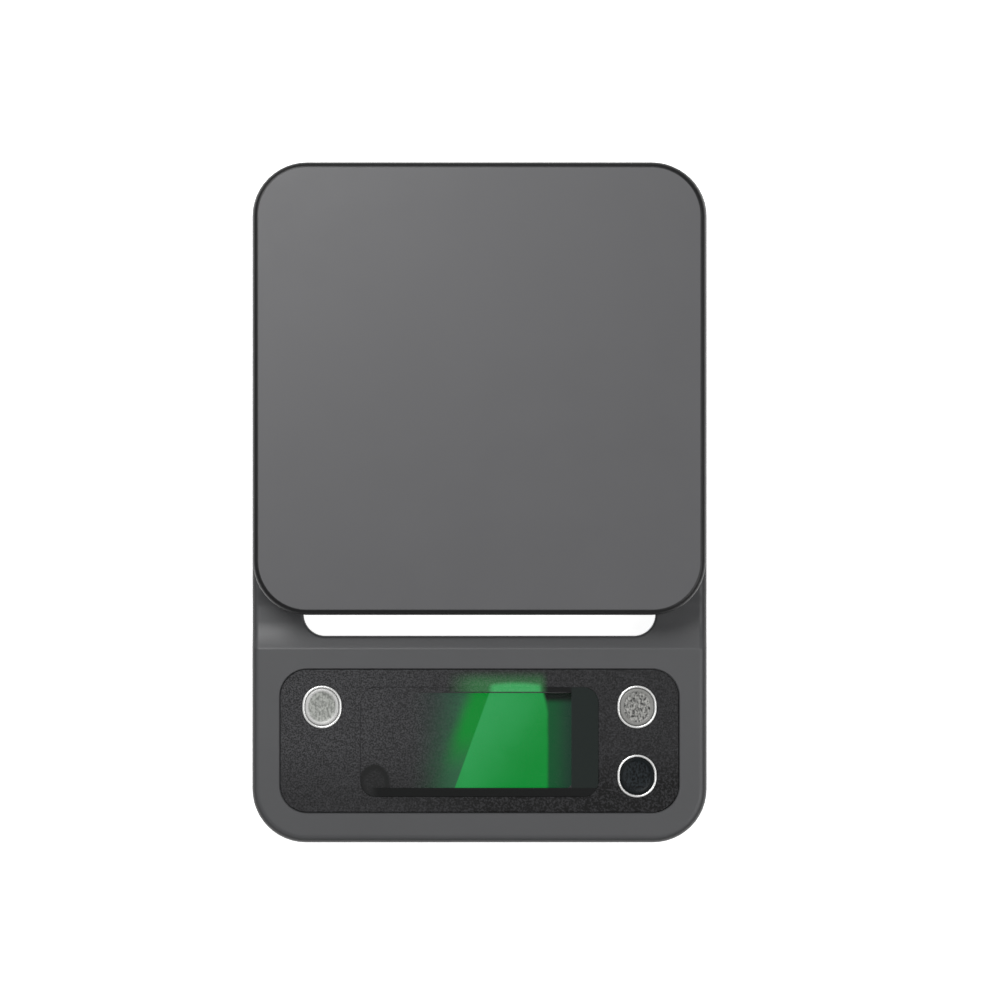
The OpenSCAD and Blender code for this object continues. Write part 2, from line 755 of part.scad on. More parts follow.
module platform_bracket() {
    mid = (bracket_front + bracket_back) / 2;
    long = bracket_back - bracket_front;
    post_mid = cell_back - clamp_l / 2;
    color(panel_black)
        difference() {
            union() {
                plate(bracket_w, long, 4, bracket_z, bracket_top, mid);
                frame(bracket_w, long, 4, bracket_rib, bracket_top - fit, rib_top, mid);
                for (x = [-bracket_rib_x, 0, bracket_rib_x])
                    box(x - bracket_rib / 2, x + bracket_rib / 2, bracket_front + 1, bracket_back - 1,
                        bracket_top - fit, rib_top);
                box(1 - bracket_w / 2, bracket_w / 2 - 1, mid - bracket_rib / 2, mid + bracket_rib / 2,
                    bracket_top - fit, rib_top);
                box(-boss_w / 2, boss_w / 2, cell_back - clamp_l, cell_back, cell_top + spacer_h, bracket_z + fit);
                box(-boss_w / 2, boss_w / 2, cell_back - clamp_l, cell_back - 0.2, bracket_top - fit, rib_top - 2);
            }
            for (s = screw_inset) {
                rod(0, cell_back - s, cell_top, rib_top + cut, cell_screw_d + 0.1);
                rod(0, cell_back - s, bracket_z - 2, rib_top + cut, 5.8);
            }
            for (side = [-1, 1])
                for (y = CLIP_Y)
                    translate([side * bracket_w / 2, y, bracket_z - cut])
                        translate([-clip_catch, -clip_w / 2, 0])
                            cube([2 * clip_catch, clip_w, bracket_t - 0.5 + cut]);
            for (x = [-33.5, -11, 11, 33.5])
                for (y = [bracket_front + 12.5, bracket_back - 12.5])
                    if (abs(x) > 12 || y < post_mid - clamp_l)
                        rod(x, y, bracket_z - cut, bracket_top + cut, 12);
        }
}

module platform_screws() {
    color(bare_steel)
        for (s = screw_inset)
            translate([0, cell_back - s, bracket_z - 2])
                difference() {
                    union() {
                        cylinder(h = 2, d = 5.4);
                        translate([0, 0, -9])
                            cylinder(h = 9 + fit, d = cell_screw_d);
                    }
                    for (a = [0, 90])
                        translate([0, 0, 2])
                            rotate(a)
                                cube([3, 0.7, 1.6], center = true);
                }
}

module platform_pads() {
    mid = (bracket_front + bracket_back) / 2;
    color(foot_black)
        for (x = [-bracket_rib_x, bracket_rib_x])
            for (y = [-16, 16])
                box(x - bracket_rib / 2, x + bracket_rib / 2, mid + y - 6, mid + y + 6, rib_top, cover_under);
}

module platform_cover() {
    inner = platform_w - 2 * platform_t;
    color(platform_grey)
        union() {
            difference() {
                soft_slab(platform_w, platform_w, platform_r, cover_low, platform_z, high = 1.6, y = platform_y);
                plate(inner, inner, platform_r - platform_t, cover_low - cut, cover_under, platform_y);
            }
            for (side = [-1, 1])
                for (y = CLIP_Y)
                    translate([side * (bracket_w / 2 + fit + clip_t / 2), y, 0]) {
                        translate([-clip_t / 2, 0.5 - clip_w / 2, bracket_z + 0.4])
                            cube([clip_t, clip_w - 1, cover_under - bracket_z]);
                        translate([-clip_t / 2 - (side > 0 ? clip_reach : 0), 0.5 - clip_w / 2, bracket_z + 0.4])
                            cube([clip_t + clip_reach, clip_w - 1, 0.8]);
                    }
        }
}

// ---- Control panel ----

module control_panel() {
    color(panel_black)
        difference() {
            plate(panel_w, panel_l, panel_r, panel_z, head_z, panel_y);
            plate(window_w + 0.3, window_l + 0.3, window_r + 0.15, panel_z - cut, head_z + cut, window_y);
            for (p = BUTTONS)
                plate(button_w + 0.1, button_l + 0.1, button_w / 2, panel_z - cut, head_z + cut, p[1], p[0]);
        }
}

module display_window() {
    color([0.2, 0.24, 0.22])
        plate(window_w, window_l, window_r, panel_z, panel_z + window_t, window_y);
}

module display_gasket() {
    color(part_black)
        frame(lcd_w + 1, lcd_l + 0.6, 1, 1.6, lcd_top, shelf_z, aperture_y);
}

module lcd_glass() {
    color([0.35, 0.45, 0.38])
        union() {
            plate(lcd_w, lcd_l, 0.5, lcd_z, lcd_z + lcd_t / 2, aperture_y);
            plate(lcd_w, lcd_l - 3.4, 0.5, lcd_z + lcd_t / 2 - fit, lcd_top, aperture_y);
        }
}

module lcd_backlight() {
    color(lamp_green)
        plate(backlight_w, backlight_l, 0.5, board_top + 0.1, lcd_z - 0.1, aperture_y);
}

module backlight_led() {
    color(silicone_white)
        box(backlight_w / 2 + 0.1, backlight_w / 2 + 1.7, aperture_y - 2, aperture_y + 2,
            board_top, board_top + 1.8);
}

module lcd_frame() {
    color(part_black)
        frame(frame_w, frame_l, 1.2, 1.5, board_top, lcd_top, aperture_y);
}

module zebra_strips() {
    color([0.85, 0.35, 0.45])
        for (side = [-1, 1])
            translate([0, aperture_y + side * (lcd_l - zebra_t) / 2, (board_top + lcd_z) / 2])
                cube([lcd_w - 3, zebra_t, lcd_z - board_top], center = true);
}

module main_board() {
    notch_x = 45.8;
    notch_y = -79.2;
    half = board_w / 2;
    color(board_green)
        difference() {
            translate([0, 0, board_z])
                linear_extrude(board_t)
                    polygon([[-half, board_back], [-half, notch_y], [-notch_x, notch_y], [-notch_x, board_front],
                        [notch_x, board_front], [notch_x, notch_y], [half, notch_y], [half, board_back]]);
            for (p = BOARD_SCREWS)
                rod(p[0], p[1], board_z - cut, board_top + cut, board_screw_d + 0.3);
        }
}

module board_screws() {
    color(bare_steel)
        for (p = BOARD_SCREWS)
            difference() {
                union() {
                    rod(p[0], p[1], board_top, board_top + 1.4, 4);
                    rod(p[0], p[1], floor_z - 0.3, board_top + fit, board_screw_d);
                }
                for (a = [0, 90])
                    translate([p[0], p[1], board_top + 1.4])
                        rotate(a)
                            cube([2.4, 0.5, 1.2], center = true);
            }
}

module chip_cover() {
    color(part_black)
        translate([0, panel_y, board_z])
            mirror([0, 0, 1])
                rotate_extrude()
                    polygon([[0, 0], [5.5, 0], [5.1, 0.5], [4, 1.05], [2.4, 1.4], [0, 1.5]]);
}

module board_components() {
    PARTS = [[-16, -60, 3.2, 1.6, 1], [-16, -64, 3.2, 1.6, 1], [-16, -68, 2, 1.2, 0.6], [14, -58, 5, 4, 1.5],
        [16, -68, 2, 1.2, 0.6], [16, -71, 2, 1.2, 0.6], [-12, -76, 8, 3, 2.2], [24, -54, 4.5, 4.5, 2.4]];
    color([0.6, 0.55, 0.42])
        for (p = PARTS)
            box(p[0] - p[2] / 2, p[0] + p[2] / 2, p[1] - p[3] / 2, p[1] + p[3] / 2, board_z - p[4], board_z);
}

module buzzer() {
    color(part_black)
        translate([-37.8, -69, board_top])
            difference() {
                cylinder(h = 3.4, d = 10);
                translate([0, 0, 2.6])
                    cylinder(h = 2, d = 2);
            }
}

module connector(x) {
    color(silicone_white)
        difference() {
            box(x - 4, x + 4, -50.8, -46.9, board_top, board_top + 4);
            box(x - 3.4, x + 3.4, -49.8, -47.6, board_top + 1, board_top + 5);
        }
}

// ---- Buttons ----

module button(i, tint) {
    w = button_w - 2 * ring_t - 2 * cap_gap;
    l = button_l - 2 * ring_t - 2 * cap_gap;
    color(tint)
        translate([BUTTONS[i][0], BUTTONS[i][1], 0])
            union() {
                plate(w, l, w / 2 - sliver, flange_top - flange_t, button_top - 0.4);
                plate(w - 0.5, l - 0.5, w / 2 - 0.25 - sliver, flange_top, button_top);
                plate(w + 2 * flange_over, l + 2 * flange_over, w / 2 + flange_over - sliver,
                    flange_top - flange_t, flange_top);
            }
}

module button_ring(i) {
    color([0.8, 0.8, 0.8])
        translate([BUTTONS[i][0], BUTTONS[i][1], 0])
            difference() {
                plate(button_w, button_l, button_w / 2 - sliver, panel_z, ring_top);
                plate(button_w - 2 * ring_t, button_l - 2 * ring_t, button_w / 2 - ring_t - sliver,
                    panel_z - cut, ring_top + cut);
            }
}

module switch_body(i) {
    p = BUTTONS[i];
    color(bare_steel)
        difference() {
            box(p[0] - switch_w / 2, p[0] + switch_w / 2, p[1] - switch_w / 2, p[1] + switch_w / 2,
                board_top, switch_top);
            rod(p[0], p[1], switch_top - bore_depth, switch_top + cut, plunger_bore);
        }
}

module plunger(i) {
    p = BUTTONS[i];
    color(part_black)
        rod(p[0], p[1], plunger_top - plunger_l, plunger_top, plunger_d);
}

module unit_button() {
    color(shell_grey)
        union() {
            rod(unit_pos[0], unit_pos[1], foot_h + 0.4, floor_z + 0.1, unit_cap_d);
            rod(unit_pos[0], unit_pos[1], floor_z + fit, floor_z + fit + unit_flange_t, 4.4);
        }
}

module unit_switch() {
    color(bare_steel)
        difference() {
            box(unit_pos[0] - switch_w / 2, unit_pos[0] + switch_w / 2, unit_pos[1] - switch_w / 2,
                unit_pos[1] + switch_w / 2, unit_switch_z, board_z);
            rod(unit_pos[0], unit_pos[1], unit_switch_z - cut, unit_bore_top, 2.3);
        }
}

module unit_plunger() {
    color(part_black)
        rod(unit_pos[0], unit_pos[1], floor_z + fit + unit_flange_t, unit_plunger_top, 2.2);
}

// ---- Leads ----

module sensor_lead() {
    color(part_black)
        tube(SENSOR_ROUTE, sensor_lead_d);
}

module battery_lead() {
    color([0.7, 0.1, 0.1]) {
        tube(PLUS_ROUTE, battery_lead_d);
        tube(MINUS_ROUTE, battery_lead_d);
    }
}

lower_shell();
upper_shell();
foot(FEET[0]);  // foot_front_left
foot(FEET[1]);  // foot_front_right
foot(FEET[2]);  // foot_rear_left
foot(FEET[3]);  // foot_rear_right
shell_screws();
battery_door();
battery(rear_battery, 1);  // battery_rear
battery(front_battery, -1);  // battery_front
contact_bridge();
contact_terminal(front_battery, 74.8);  // contact_positive
contact_terminal(rear_battery, 85.5);  // contact_negative
contact_springs();
load_cell();
load_cell_potting();
clamp_spacer(cell_front, floor_z, cell_z, [for (s = screw_inset) cell_front + s]);  // load_cell_spacer
load_cell_base_screws();
clamp_spacer(cell_back - clamp_l, cell_top, cell_top + spacer_h, [for (s = screw_inset) cell_back - s]);  // platform_spacer
platform_bracket();
platform_screws();
platform_pads();
platform_cover();
control_panel();
display_window();
display_gasket();
lcd_glass();
lcd_backlight();
backlight_led();
lcd_frame();
zebra_strips();
main_board();
board_screws();
chip_cover();
board_components();
buzzer();
connector(47);  // sensor_connector
connector(-47);  // battery_connector
button(0, [0.6, 0.6, 0.58]);  // timer_button
button(1, [0.5, 0.5, 0.5]);  // mode_button
button(2, [0.15, 0.16, 0.17]);  // tare_button
button_ring(0);  // timer_button_ring
button_ring(1);  // mode_button_ring
button_ring(2);  // tare_button_ring
switch_body(0);  // timer_switch
switch_body(1);  // mode_switch
switch_body(2);  // tare_switch
plunger(0);  // timer_plunger
plunger(1);  // mode_plunger
plunger(2);  // tare_plunger
unit_button();
unit_switch();
unit_plunger();
sensor_lead();
battery_lead();
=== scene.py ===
"""Looks of a slim digital gram scale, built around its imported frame.

Lengths in this file are millimetres until a mesh is made, and metres after that.
+Z is up, the control panel is at the -Y end, and the origin is on the floor.
"""

import json
import logging
import math
from collections.abc import Callable, Iterable, Mapping, Sequence
from dataclasses import dataclass, field
from enum import Enum
from itertools import pairwise
from typing import Any

import bmesh
import bpy
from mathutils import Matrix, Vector


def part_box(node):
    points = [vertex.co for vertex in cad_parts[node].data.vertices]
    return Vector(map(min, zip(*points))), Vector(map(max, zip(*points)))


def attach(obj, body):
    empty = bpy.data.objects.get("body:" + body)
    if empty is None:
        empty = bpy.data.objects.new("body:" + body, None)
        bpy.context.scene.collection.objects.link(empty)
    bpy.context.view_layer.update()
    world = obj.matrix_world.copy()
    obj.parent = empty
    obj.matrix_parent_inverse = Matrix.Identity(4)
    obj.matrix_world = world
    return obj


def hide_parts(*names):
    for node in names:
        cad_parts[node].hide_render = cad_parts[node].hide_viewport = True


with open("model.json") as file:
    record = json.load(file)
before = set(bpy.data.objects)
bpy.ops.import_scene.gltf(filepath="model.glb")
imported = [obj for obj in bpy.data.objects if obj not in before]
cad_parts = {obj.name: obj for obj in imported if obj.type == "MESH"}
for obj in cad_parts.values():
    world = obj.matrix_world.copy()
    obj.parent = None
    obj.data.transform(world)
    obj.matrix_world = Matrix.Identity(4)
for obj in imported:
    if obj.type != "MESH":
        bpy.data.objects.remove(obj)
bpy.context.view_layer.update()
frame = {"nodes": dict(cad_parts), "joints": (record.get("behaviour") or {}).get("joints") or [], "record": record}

LOG = logging.getLogger("gram_scale")
MM = 0.001
HALF_PI = math.pi / 2
DOOR_EAR = 2.7
CORNER = 15.0
BUTTONS = ("timer", "mode", "tare")
FOOT_NODES = ("foot_front_left", "foot_front_right", "foot_rear_left", "foot_rear_right")

Colour = tuple[float, float, float]
Level = float | Callable[[float], float]
RingSpec = tuple[float, Level]
Point = tuple[float, float]
Span = tuple[float, float]


# ---- Shader maths ----


class Tone:
    """One output socket of a material's nodes, which can be used in arithmetic."""

    def __init__(self, recipe: "Recipe", socket: bpy.types.NodeSocket) -> None:
        """Keeps the socket and the recipe that it belongs to."""
        self.recipe = recipe
        self.socket = socket

    def maths(self, operation: str, *values: Any, clamp: bool = False) -> "Tone":
        """Adds one Math node.

        Args:
            operation: The node's operation.
            values: What goes into its sockets, in order.
            clamp: Whether the result is held between 0 and 1.

        Returns:
            The node's result.
        """
        settings = {"operation": operation, "use_clamp": clamp}
        return self.recipe.add("ShaderNodeMath", settings, dict(enumerate(values)))

    def __add__(self, other: Any) -> "Tone":
        """This plus another value."""
        return self.maths("ADD", self, other)

    def __radd__(self, other: Any) -> "Tone":
        """Another value plus this."""
        return self.maths("ADD", other, self)

    def __sub__(self, other: Any) -> "Tone":
        """This less another value."""
        return self.maths("SUBTRACT", self, other)

    def __rsub__(self, other: Any) -> "Tone":
        """Another value less this."""
        return self.maths("SUBTRACT", other, self)

    def __mul__(self, other: Any) -> "Tone":
        """This times another value."""
        return self.maths("MULTIPLY", self, other)

    def __rmul__(self, other: Any) -> "Tone":
        """Another value times this."""
        return self.maths("MULTIPLY", other, self)

    def __truediv__(self, other: Any) -> "Tone":
        """This divided by another value."""
        return self.maths("DIVIDE", self, other)

    def clamped(self) -> "Tone":
        """This, held between 0 and 1."""
        return self.maths("ADD", self, 0.0, clamp=True)

    def size(self) -> "Tone":
        """This without its sign."""
        return self.maths("ABSOLUTE", self)

    def above_zero(self) -> "Tone":
        """This, or 0 where it is below 0."""
        return self.maths("MAXIMUM", self, 0.0)

    def root(self) -> "Tone":
        """The square root of this."""
        return self.maths("SQRT", self)

    def step(self, start: float, end: float) -> "Tone":
        """A smooth step.

        Args:
            start: The value where the step leaves 0.
            end: The value where the step reaches 1; it may be below start.

        Returns:
            0 before start, 1 after end, and a smooth ramp between them.
        """
        share = ((self - start) / (end - start)).clamped()
        return share * share * (3.0 - 2.0 * share)


class Recipe:
    """A material's node tree, with a Principled shader at its end."""

    def __init__(self, name: str) -> None:
        """Makes an empty material.

        Args:
            name: Its name.
        """
        self.material = bpy.data.materials.new(name)
        self.material.use_nodes = True
        self.tree = self.material.node_tree
        self.tree.nodes.clear()
        self._place: Tone | None = None

    def add(
        self,
        kind: str,
        settings: Mapping[str, Any] | None = None,
        inputs: Mapping[str | int, Any] | None = None,
        output: str | int = 0,
    ) -> Tone:
        """Adds any node: its type, its settings first, then its sockets.

        Args:
            kind: The node's type.
            settings: Its attributes, and a colour ramp's stops as "stops".
            inputs: Values or tones for its input sockets, by name or number.
            output: The output socket to hand back, by name or number.

        Returns:
            The chosen output.
        """
        node = self.tree.nodes.new(kind)
        for name, value in (settings or {}).items():
            if name == "stops":
                self._set_stops(node.color_ramp, value)
            else:
                setattr(node, name, value)
        for name, value in (inputs or {}).items():
            if isinstance(value, Tone):
                self.tree.links.new(value.socket, node.inputs[name])
            else:
                node.inputs[name].default_value = value
        return Tone(self, node.outputs[output] if len(node.outputs) else None)

    @staticmethod
    def _set_stops(ramp: bpy.types.ColorRamp, stops: Sequence[tuple[float, Colour]]) -> None:
        """Gives a colour ramp its stops.

        Args:
            ramp: The ramp.
            stops: Each stop's position and colour.
        """
        while len(ramp.elements) < len(stops):
            ramp.elements.new(1.0)
        for element, (position, colour) in zip(ramp.elements, stops):
            element.position = position
            element.color = (*colour, 1.0)

    def place(self) -> Tone:
        """Finds the point on the piece, once for each material.

        Returns:
            The point, in millimetres of the shared frame.
        """
        if self._place is None:
            here = self.add("ShaderNodeTexCoord", output="Object")
            scale = {0: here, "Scale": 1.0 / MM}
            self._place = self.add("ShaderNodeVectorMath", {"operation": "SCALE"}, scale)
        return self._place

    def axes(self) -> tuple[Tone, Tone, Tone]:
        """Splits the point on the piece.

        Returns:
            Its X, Y and Z, in millimetres.
        """
        split = self.add("ShaderNodeSeparateXYZ", inputs={0: self.place()})
        outputs = split.socket.node.outputs
        return Tone(self, outputs[0]), Tone(self, outputs[1]), Tone(self, outputs[2])

    def inset(self, plan: "Plan") -> Tone:
        """Measures how far the point is inside an outline.

        Args:
            plan: The outline.

        Returns:
            The distance to the outline in millimetres, true near its edge.
        """
        x, y, _ = self.axes()
        radius = plan.back_radius
        wide = ((x - plan.x).size() - (plan.width / 2 - radius)).above_zero()
        long = ((y - plan.y).size() - (plan.length / 2 - radius)).above_zero()
        return radius - (wide * wide + long * long).root()

    def noise(self, size: float, detail: float = 2.0, stretch: Colour | None = None) -> Tone:
        """Cloudy noise.

        Args:
            size: The size of its patches, in millimetres.
            detail: How many finer layers it holds.
            stretch: Factors on X, Y and Z for noise that runs in one direction.

        Returns:
            Values about 0.5.
        """
        where = self.place()
        if stretch is not None:
            where = self.add("ShaderNodeVectorMath", {"operation": "MULTIPLY"}, {0: where, 1: stretch})
        values = {"Vector": where, "Scale": 1.0 / size, "Detail": detail, "Roughness": 0.6}
        return self.add("ShaderNodeTexNoise", None, values, "Fac")

    def mix(self, share: Any, first: Any, second: Any) -> Tone:
        """A colour between two others.

        Args:
            share: How much of the second, from 0 to 1.
            first: A colour or a tone.
            second: A colour or a tone.

        Returns:
            The mixed colour.
        """
        values = {0: share, 6: _with_alpha(first), 7: _with_alpha(second)}
        return self.add("ShaderNodeMix", {"data_type": "RGBA"}, values, 2)

    def bump(self, height: Tone, depth: float) -> Tone:
        """Normals bent by a height.

        Args:
            height: The height, from about 0 to 1.
            depth: How deep a height of 1 is, in millimetres.

        Returns:
            The bent normal.
        """
        values = {"Strength": 1.0, "Distance": depth * MM, "Height": height}
        return self.add("ShaderNodeBump", None, values, "Normal")

    def shader(self, inputs: Mapping[str, Any]) -> Tone:
        """The Principled shader with these socket values."""
        ready = {k: _with_alpha(v) if "Color" in k else v for k, v in inputs.items()}
        return self.add("ShaderNodeBsdfPrincipled", None, ready)

    def done(self, surface: Tone) -> bpy.types.Material:
        """Joins the surface to the output and hands the material back."""
        self.add("ShaderNodeOutputMaterial", None, {"Surface": surface})
        return self.material


def _with_alpha(colour: Any) -> Any:
    """A plain colour with an alpha of 1, and a tone as it is."""
    return (*colour, 1.0) if isinstance(colour, tuple) and len(colour) == 3 else colour


# ---- Finishes ----


@dataclass(frozen=True)
class Moulded:
    """Moulded plastic or rubber with a spark-eroded grain."""

    name: str
    colour: Colour
    roughness: float = 0.45
    grain: float = 0.35
    depth: float = 0.01
    mottle: float = 0.08
    specular: float = 0.5
    speckle: float = 0.0

    def tint(self, recipe: Recipe) -> Tone:
        """Mixes the colour over the surface.

        Args:
            recipe: The material being made.

        Returns:
            Soft clouds, and flecks where the finish has them.
        """
        clouds = recipe.noise(38.0, 3.0)
        low = tuple(c * (1.0 - self.mottle) for c in self.colour)
        high = tuple(c * (1.0 + self.mottle) for c in self.colour)
        tone = recipe.mix(clouds, low, high)
        if self.speckle:
            fleck = recipe.noise(self.grain * 0.7, 2.0).step(0.36, 0.66)
            dark = tuple(c * (1.0 - 0.8 * self.speckle) for c in self.colour)
            light = tuple(min(1.0, c * (1.0 + 2.2 * self.speckle)) for c in self.colour)
            tone = recipe.mix(self.speckle, tone, recipe.mix(fleck, dark, light))
        return tone

    def relief(self, recipe: Recipe) -> Tone:
        """The height of the grain, from 0 to 1."""
        return 0.65 * recipe.noise(self.grain, 2.0) + 0.35 * recipe.noise(self.grain * 2.6, 1.0)

    def make(self) -> bpy.types.Material:
        """Builds the material.

        Returns:
            The finished material.
        """
        recipe = Recipe(self.name)
        height = self.relief(recipe)
        wear = recipe.noise(11.0, 4.0)
        rough = (self.roughness - 0.06 + 0.12 * wear).clamped()
        values = {
            "Base Color": self.tint(recipe),
            "Roughness": rough,
            "Specular IOR Level": self.specular,
            "Normal": recipe.bump(height, self.depth),
        }
        return recipe.done(recipe.shader(values))


@dataclass(frozen=True)
class EdgeShadedPlastic(Moulded):
    """Moulded plastic with painted shade: darker along the outer edge of a plan."""

    plan: "Plan | None" = None
    # The next fields paint shade along the outline: its darker colour, where it starts and ends inside the
    # outline, and its share.
    edge_shade_colour: Colour = (0.012, 0.012, 0.0125)
    edge_shade_start: float = 1.65
    edge_shade_end: float = 1.35
    share: float = 1.0

    def tint(self, recipe: Recipe) -> Tone:
        """Mixes the colour over the surface.

        Args:
            recipe: The material being made.

        Returns:
            The plastic's own colour, and a darker colour of painted shade on the rim.
        """
        inset = recipe.inset(self.plan)
        # Painted shade: the colour darkens towards the outer edge of the plan.
        rim = inset.step(self.edge_shade_start, self.edge_shade_end) * self.share
        return recipe.mix(rim, super().tint(recipe), self.edge_shade_colour)


@dataclass(frozen=True)
class PanelGrain(Moulded):
    """The panel's coarse grain, with painted shade that darkens it to the right and the front, and lit a little by
    the display.
    """

    fleck: Colour = (0.024, 0.024, 0.026)
    fleck_size: float = 0.5
    fleck_share: Span = (0.45, 0.62)
    # Spans where painted shade darkens the panel towards the right and the front.
    painted_shade_right: Span = (-45.0, 25.0)
    painted_shade_front: Span = (-66.0, -84.0)
    unlit: Colour = (0.0, 0.0, 0.0)
    glow: Colour = (0.012, 0.11, 0.025)
    bright: Colour = (0.028, 0.33, 0.085)
    glow_start: Span = (-53.0, -52.8)
    glow_end: Span = (-46.5, -51.0)
    glow_left: Span = (-10.0, 0.0)
    glow_right: Span = (19.5, 16.5)
    bright_end: Span = (-49.6, -51.2)
    bright_left: Span = (2.0, 4.2)
    bright_right: Span = (18.5, 16.0)
    bow_middle: float = 10.0
    bow: float = 0.012

    def tint(self, recipe: Recipe) -> Tone:
        """Mixes the colour over the surface.

        Args:
            recipe: The material being made.

        Returns:
            The grained black, darkened by painted shade towards the right and the front.
        """
        x, y, _ = recipe.axes()
        # Painted shade: the grain darkens towards the right and the front.
        shade = (0.6 * x.step(*self.painted_shade_right) + 0.55 * y.step(*self.painted_shade_front)).clamped()
        flecks = recipe.noise(self.fleck_size, 2.0).step(*self.fleck_share)
        sparse = recipe.mix(flecks, self.unlit, self.fleck)
        return recipe.mix(shade, super().tint(recipe), sparse)

    def spill(self, recipe: Recipe) -> Tone:
        """Mixes the green light that the display throws on the face behind it.

        Args:
            recipe: The material being made.

        Returns:
            The light's colour.
        """
        x, y, _ = recipe.axes()
        near = x.step(*self.glow_left) * x.step(*self.glow_right) * y.step(*self.glow_start)
        halo = near * y.step(*self.glow_end)
        bowed = y + self.bow * (x - self.bow_middle) * (x - self.bow_middle)
        edge = near * bowed.step(*self.bright_end) * x.step(*self.bright_left) * x.step(*self.bright_right)
        return recipe.mix(halo, self.unlit, recipe.mix(edge, self.glow, self.bright))

    def make(self) -> bpy.types.Material:
        """Builds the material.

        Returns:
            The finished material.
        """
        recipe = Recipe(self.name)
        height = self.relief(recipe)
        values = {
            "Base Color": self.tint(recipe),
            "Roughness": 0.46 + 0.2 * height,
            "Specular IOR Level": self.specular,
            "Normal": recipe.bump(height, self.depth),
            "Emission Color": self.spill(recipe),
            "Emission Strength": 1.0,
        }
        return recipe.done(recipe.shader(values))


@dataclass(frozen=True)
class Metal:
    """Bare or plated metal with fine scratches along one direction."""

    name: str
    colour: Colour
    roughness: float = 0.3
    stretch: Colour = (1.0, 0.08, 1.0)
    stain: float = 0.15
    depth: float = 0.004
    metallic: float = 1.0

    def make(self) -> bpy.types.Material:
        """Builds the material.

        Returns:
            The finished material.
        """
        recipe = Recipe(self.name)
        scratch = recipe.noise(0.25, 3.0, self.stretch)
        stain = recipe.noise(4.0, 3.0)
        dull = tuple(c * (1.0 - self.stain) for c in self.colour)
        values = {
            "Base Color": recipe.mix(stain, dull, self.colour),
            "Metallic": self.metallic,
            "Roughness": (self.roughness - 0.1 + 0.2 * scratch).clamped(),
            "Normal": recipe.bump(scratch, self.depth),
        }
        return recipe.done(recipe.shader(values))


@dataclass(frozen=True)
class ButtonFinish:
    """A pad-printed button cap with a mottled face and a rim of another tone."""

    name: str
    face: Colour
    rim: Colour
    centre: Point
    radius: float = 4.4
    contrast: float = 0.35
    metallic: float = 0.0
    roughness: float = 0.42
    specular: float = 0.5

    def make(self) -> bpy.types.Material:
        """Builds the material.

        Returns:
            The finished material.
        """
        recipe = Recipe(self.name)
        x, y, _ = recipe.axes()
        across, along = x - self.centre[0], (y - self.centre[1]) * 0.9
        reach = (across * across + along * along).root()
        blotch = recipe.noise(0.7, 4.0)
        brushed = recipe.noise(0.5, 3.0, (1.0, 0.35, 1.0))
        low = tuple(c * (1.0 - self.contrast) for c in self.face)
        high = tuple(min(1.0, c * (1.0 + self.contrast)) for c in self.face)
        face = recipe.mix((0.5 * blotch + 0.5 * brushed).step(0.38, 0.62), low, high)
        worn = (reach + 0.5 * (blotch - 0.5)).step(self.radius - 0.9, self.radius - 0.25)
        values = {
            "Base Color": recipe.mix(worn, face, self.rim),
            "Metallic": self.metallic,
            "Specular IOR Level": self.specular,
            "Roughness": (self.roughness - 0.12 + 0.24 * blotch).clamped(),
            "Normal": recipe.bump(0.6 * blotch + 0.4 * brushed, 0.03),
        }
        return recipe.done(recipe.shader(values))


@dataclass(frozen=True)
class PaneFinish(PanelGrain):
    """The smoked pane: grained and closed at its left, clear over the lit field, masked black round it."""

    clear_left: Span = (-21.0, -3.0)
    clearness: float = 0.88
    wander: float = 4.0
    right: float = 25.7
    front: float = -79.7
    front_left: Span = (-31.0, -28.0)
    back: float = -52.9
    back_left: Span = (17.0, 19.5)
    blur: float = 0.1
    mask: Colour = (0.0045, 0.005, 0.005)
    strip: Colour = (0.011, 0.016, 0.0145)
    spot: Point = (-29.3, -77.9)
    spot_edge: Span = (4.9, 4.1)
    spot_core: Span = (2.6, 3.6)
    spot_wander: float = 2.4
    sole: float = 13.8
    sole_fade: Span = (0.1, 0.3)

    def make(self) -> bpy.types.Material:
        """Builds the material.

        Returns:
            The finished material.
        """
        recipe = Recipe(self.name)
        x, y, z = recipe.axes()
        height = self.relief(recipe)
        cloud = recipe.noise(5.0, 3.0)
        clear = (x + self.wander * (cloud - 0.5)).step(*self.clear_left)
        blur = self.blur
        side = x.step(self.right - blur, self.right + blur)
        band = y.step(self.front + blur, self.front - blur) * x.step(*self.front_left)
        inside = (1.0 - band) * (1.0 - side) * y.step(self.back + blur, self.back - blur)
        top = y.step(self.back - blur, self.back + blur) * x.step(*self.back_left)
        smooth = 1.0 - (1.0 - clear) * (1.0 - band)
        off_x, off_y = x - self.spot[0], y - self.spot[1]
        reach = (off_x * off_x + off_y * off_y).root() + self.spot_wander * (cloud - 0.5)
        dark = reach.step(*self.spot_edge) * (0.6 + 0.4 * reach.step(*self.spot_core))
        # The pane's closed part takes the panel's grain with its painted shade towards the right and the front.
        closed = recipe.mix((dark + band + top).clamped(), self.tint(recipe), self.mask)
        above = z.step(self.sole + self.sole_fade[0], self.sole + self.sole_fade[1])
        values = {
            "Base Color": recipe.mix(side * (1.0 - band), closed, self.strip),
            "Roughness": 0.5 - 0.2 * smooth,
            "Alpha": (1.0 - self.clearness * clear * inside).clamped() * above,
            "Specular IOR Level": self.specular,
            "Normal": recipe.bump(height * (1.0 - smooth), self.depth),
            "Emission Color": self.spill(recipe),
            "Emission Strength": 1.0,
        }
        return recipe.done(recipe.shader(values))


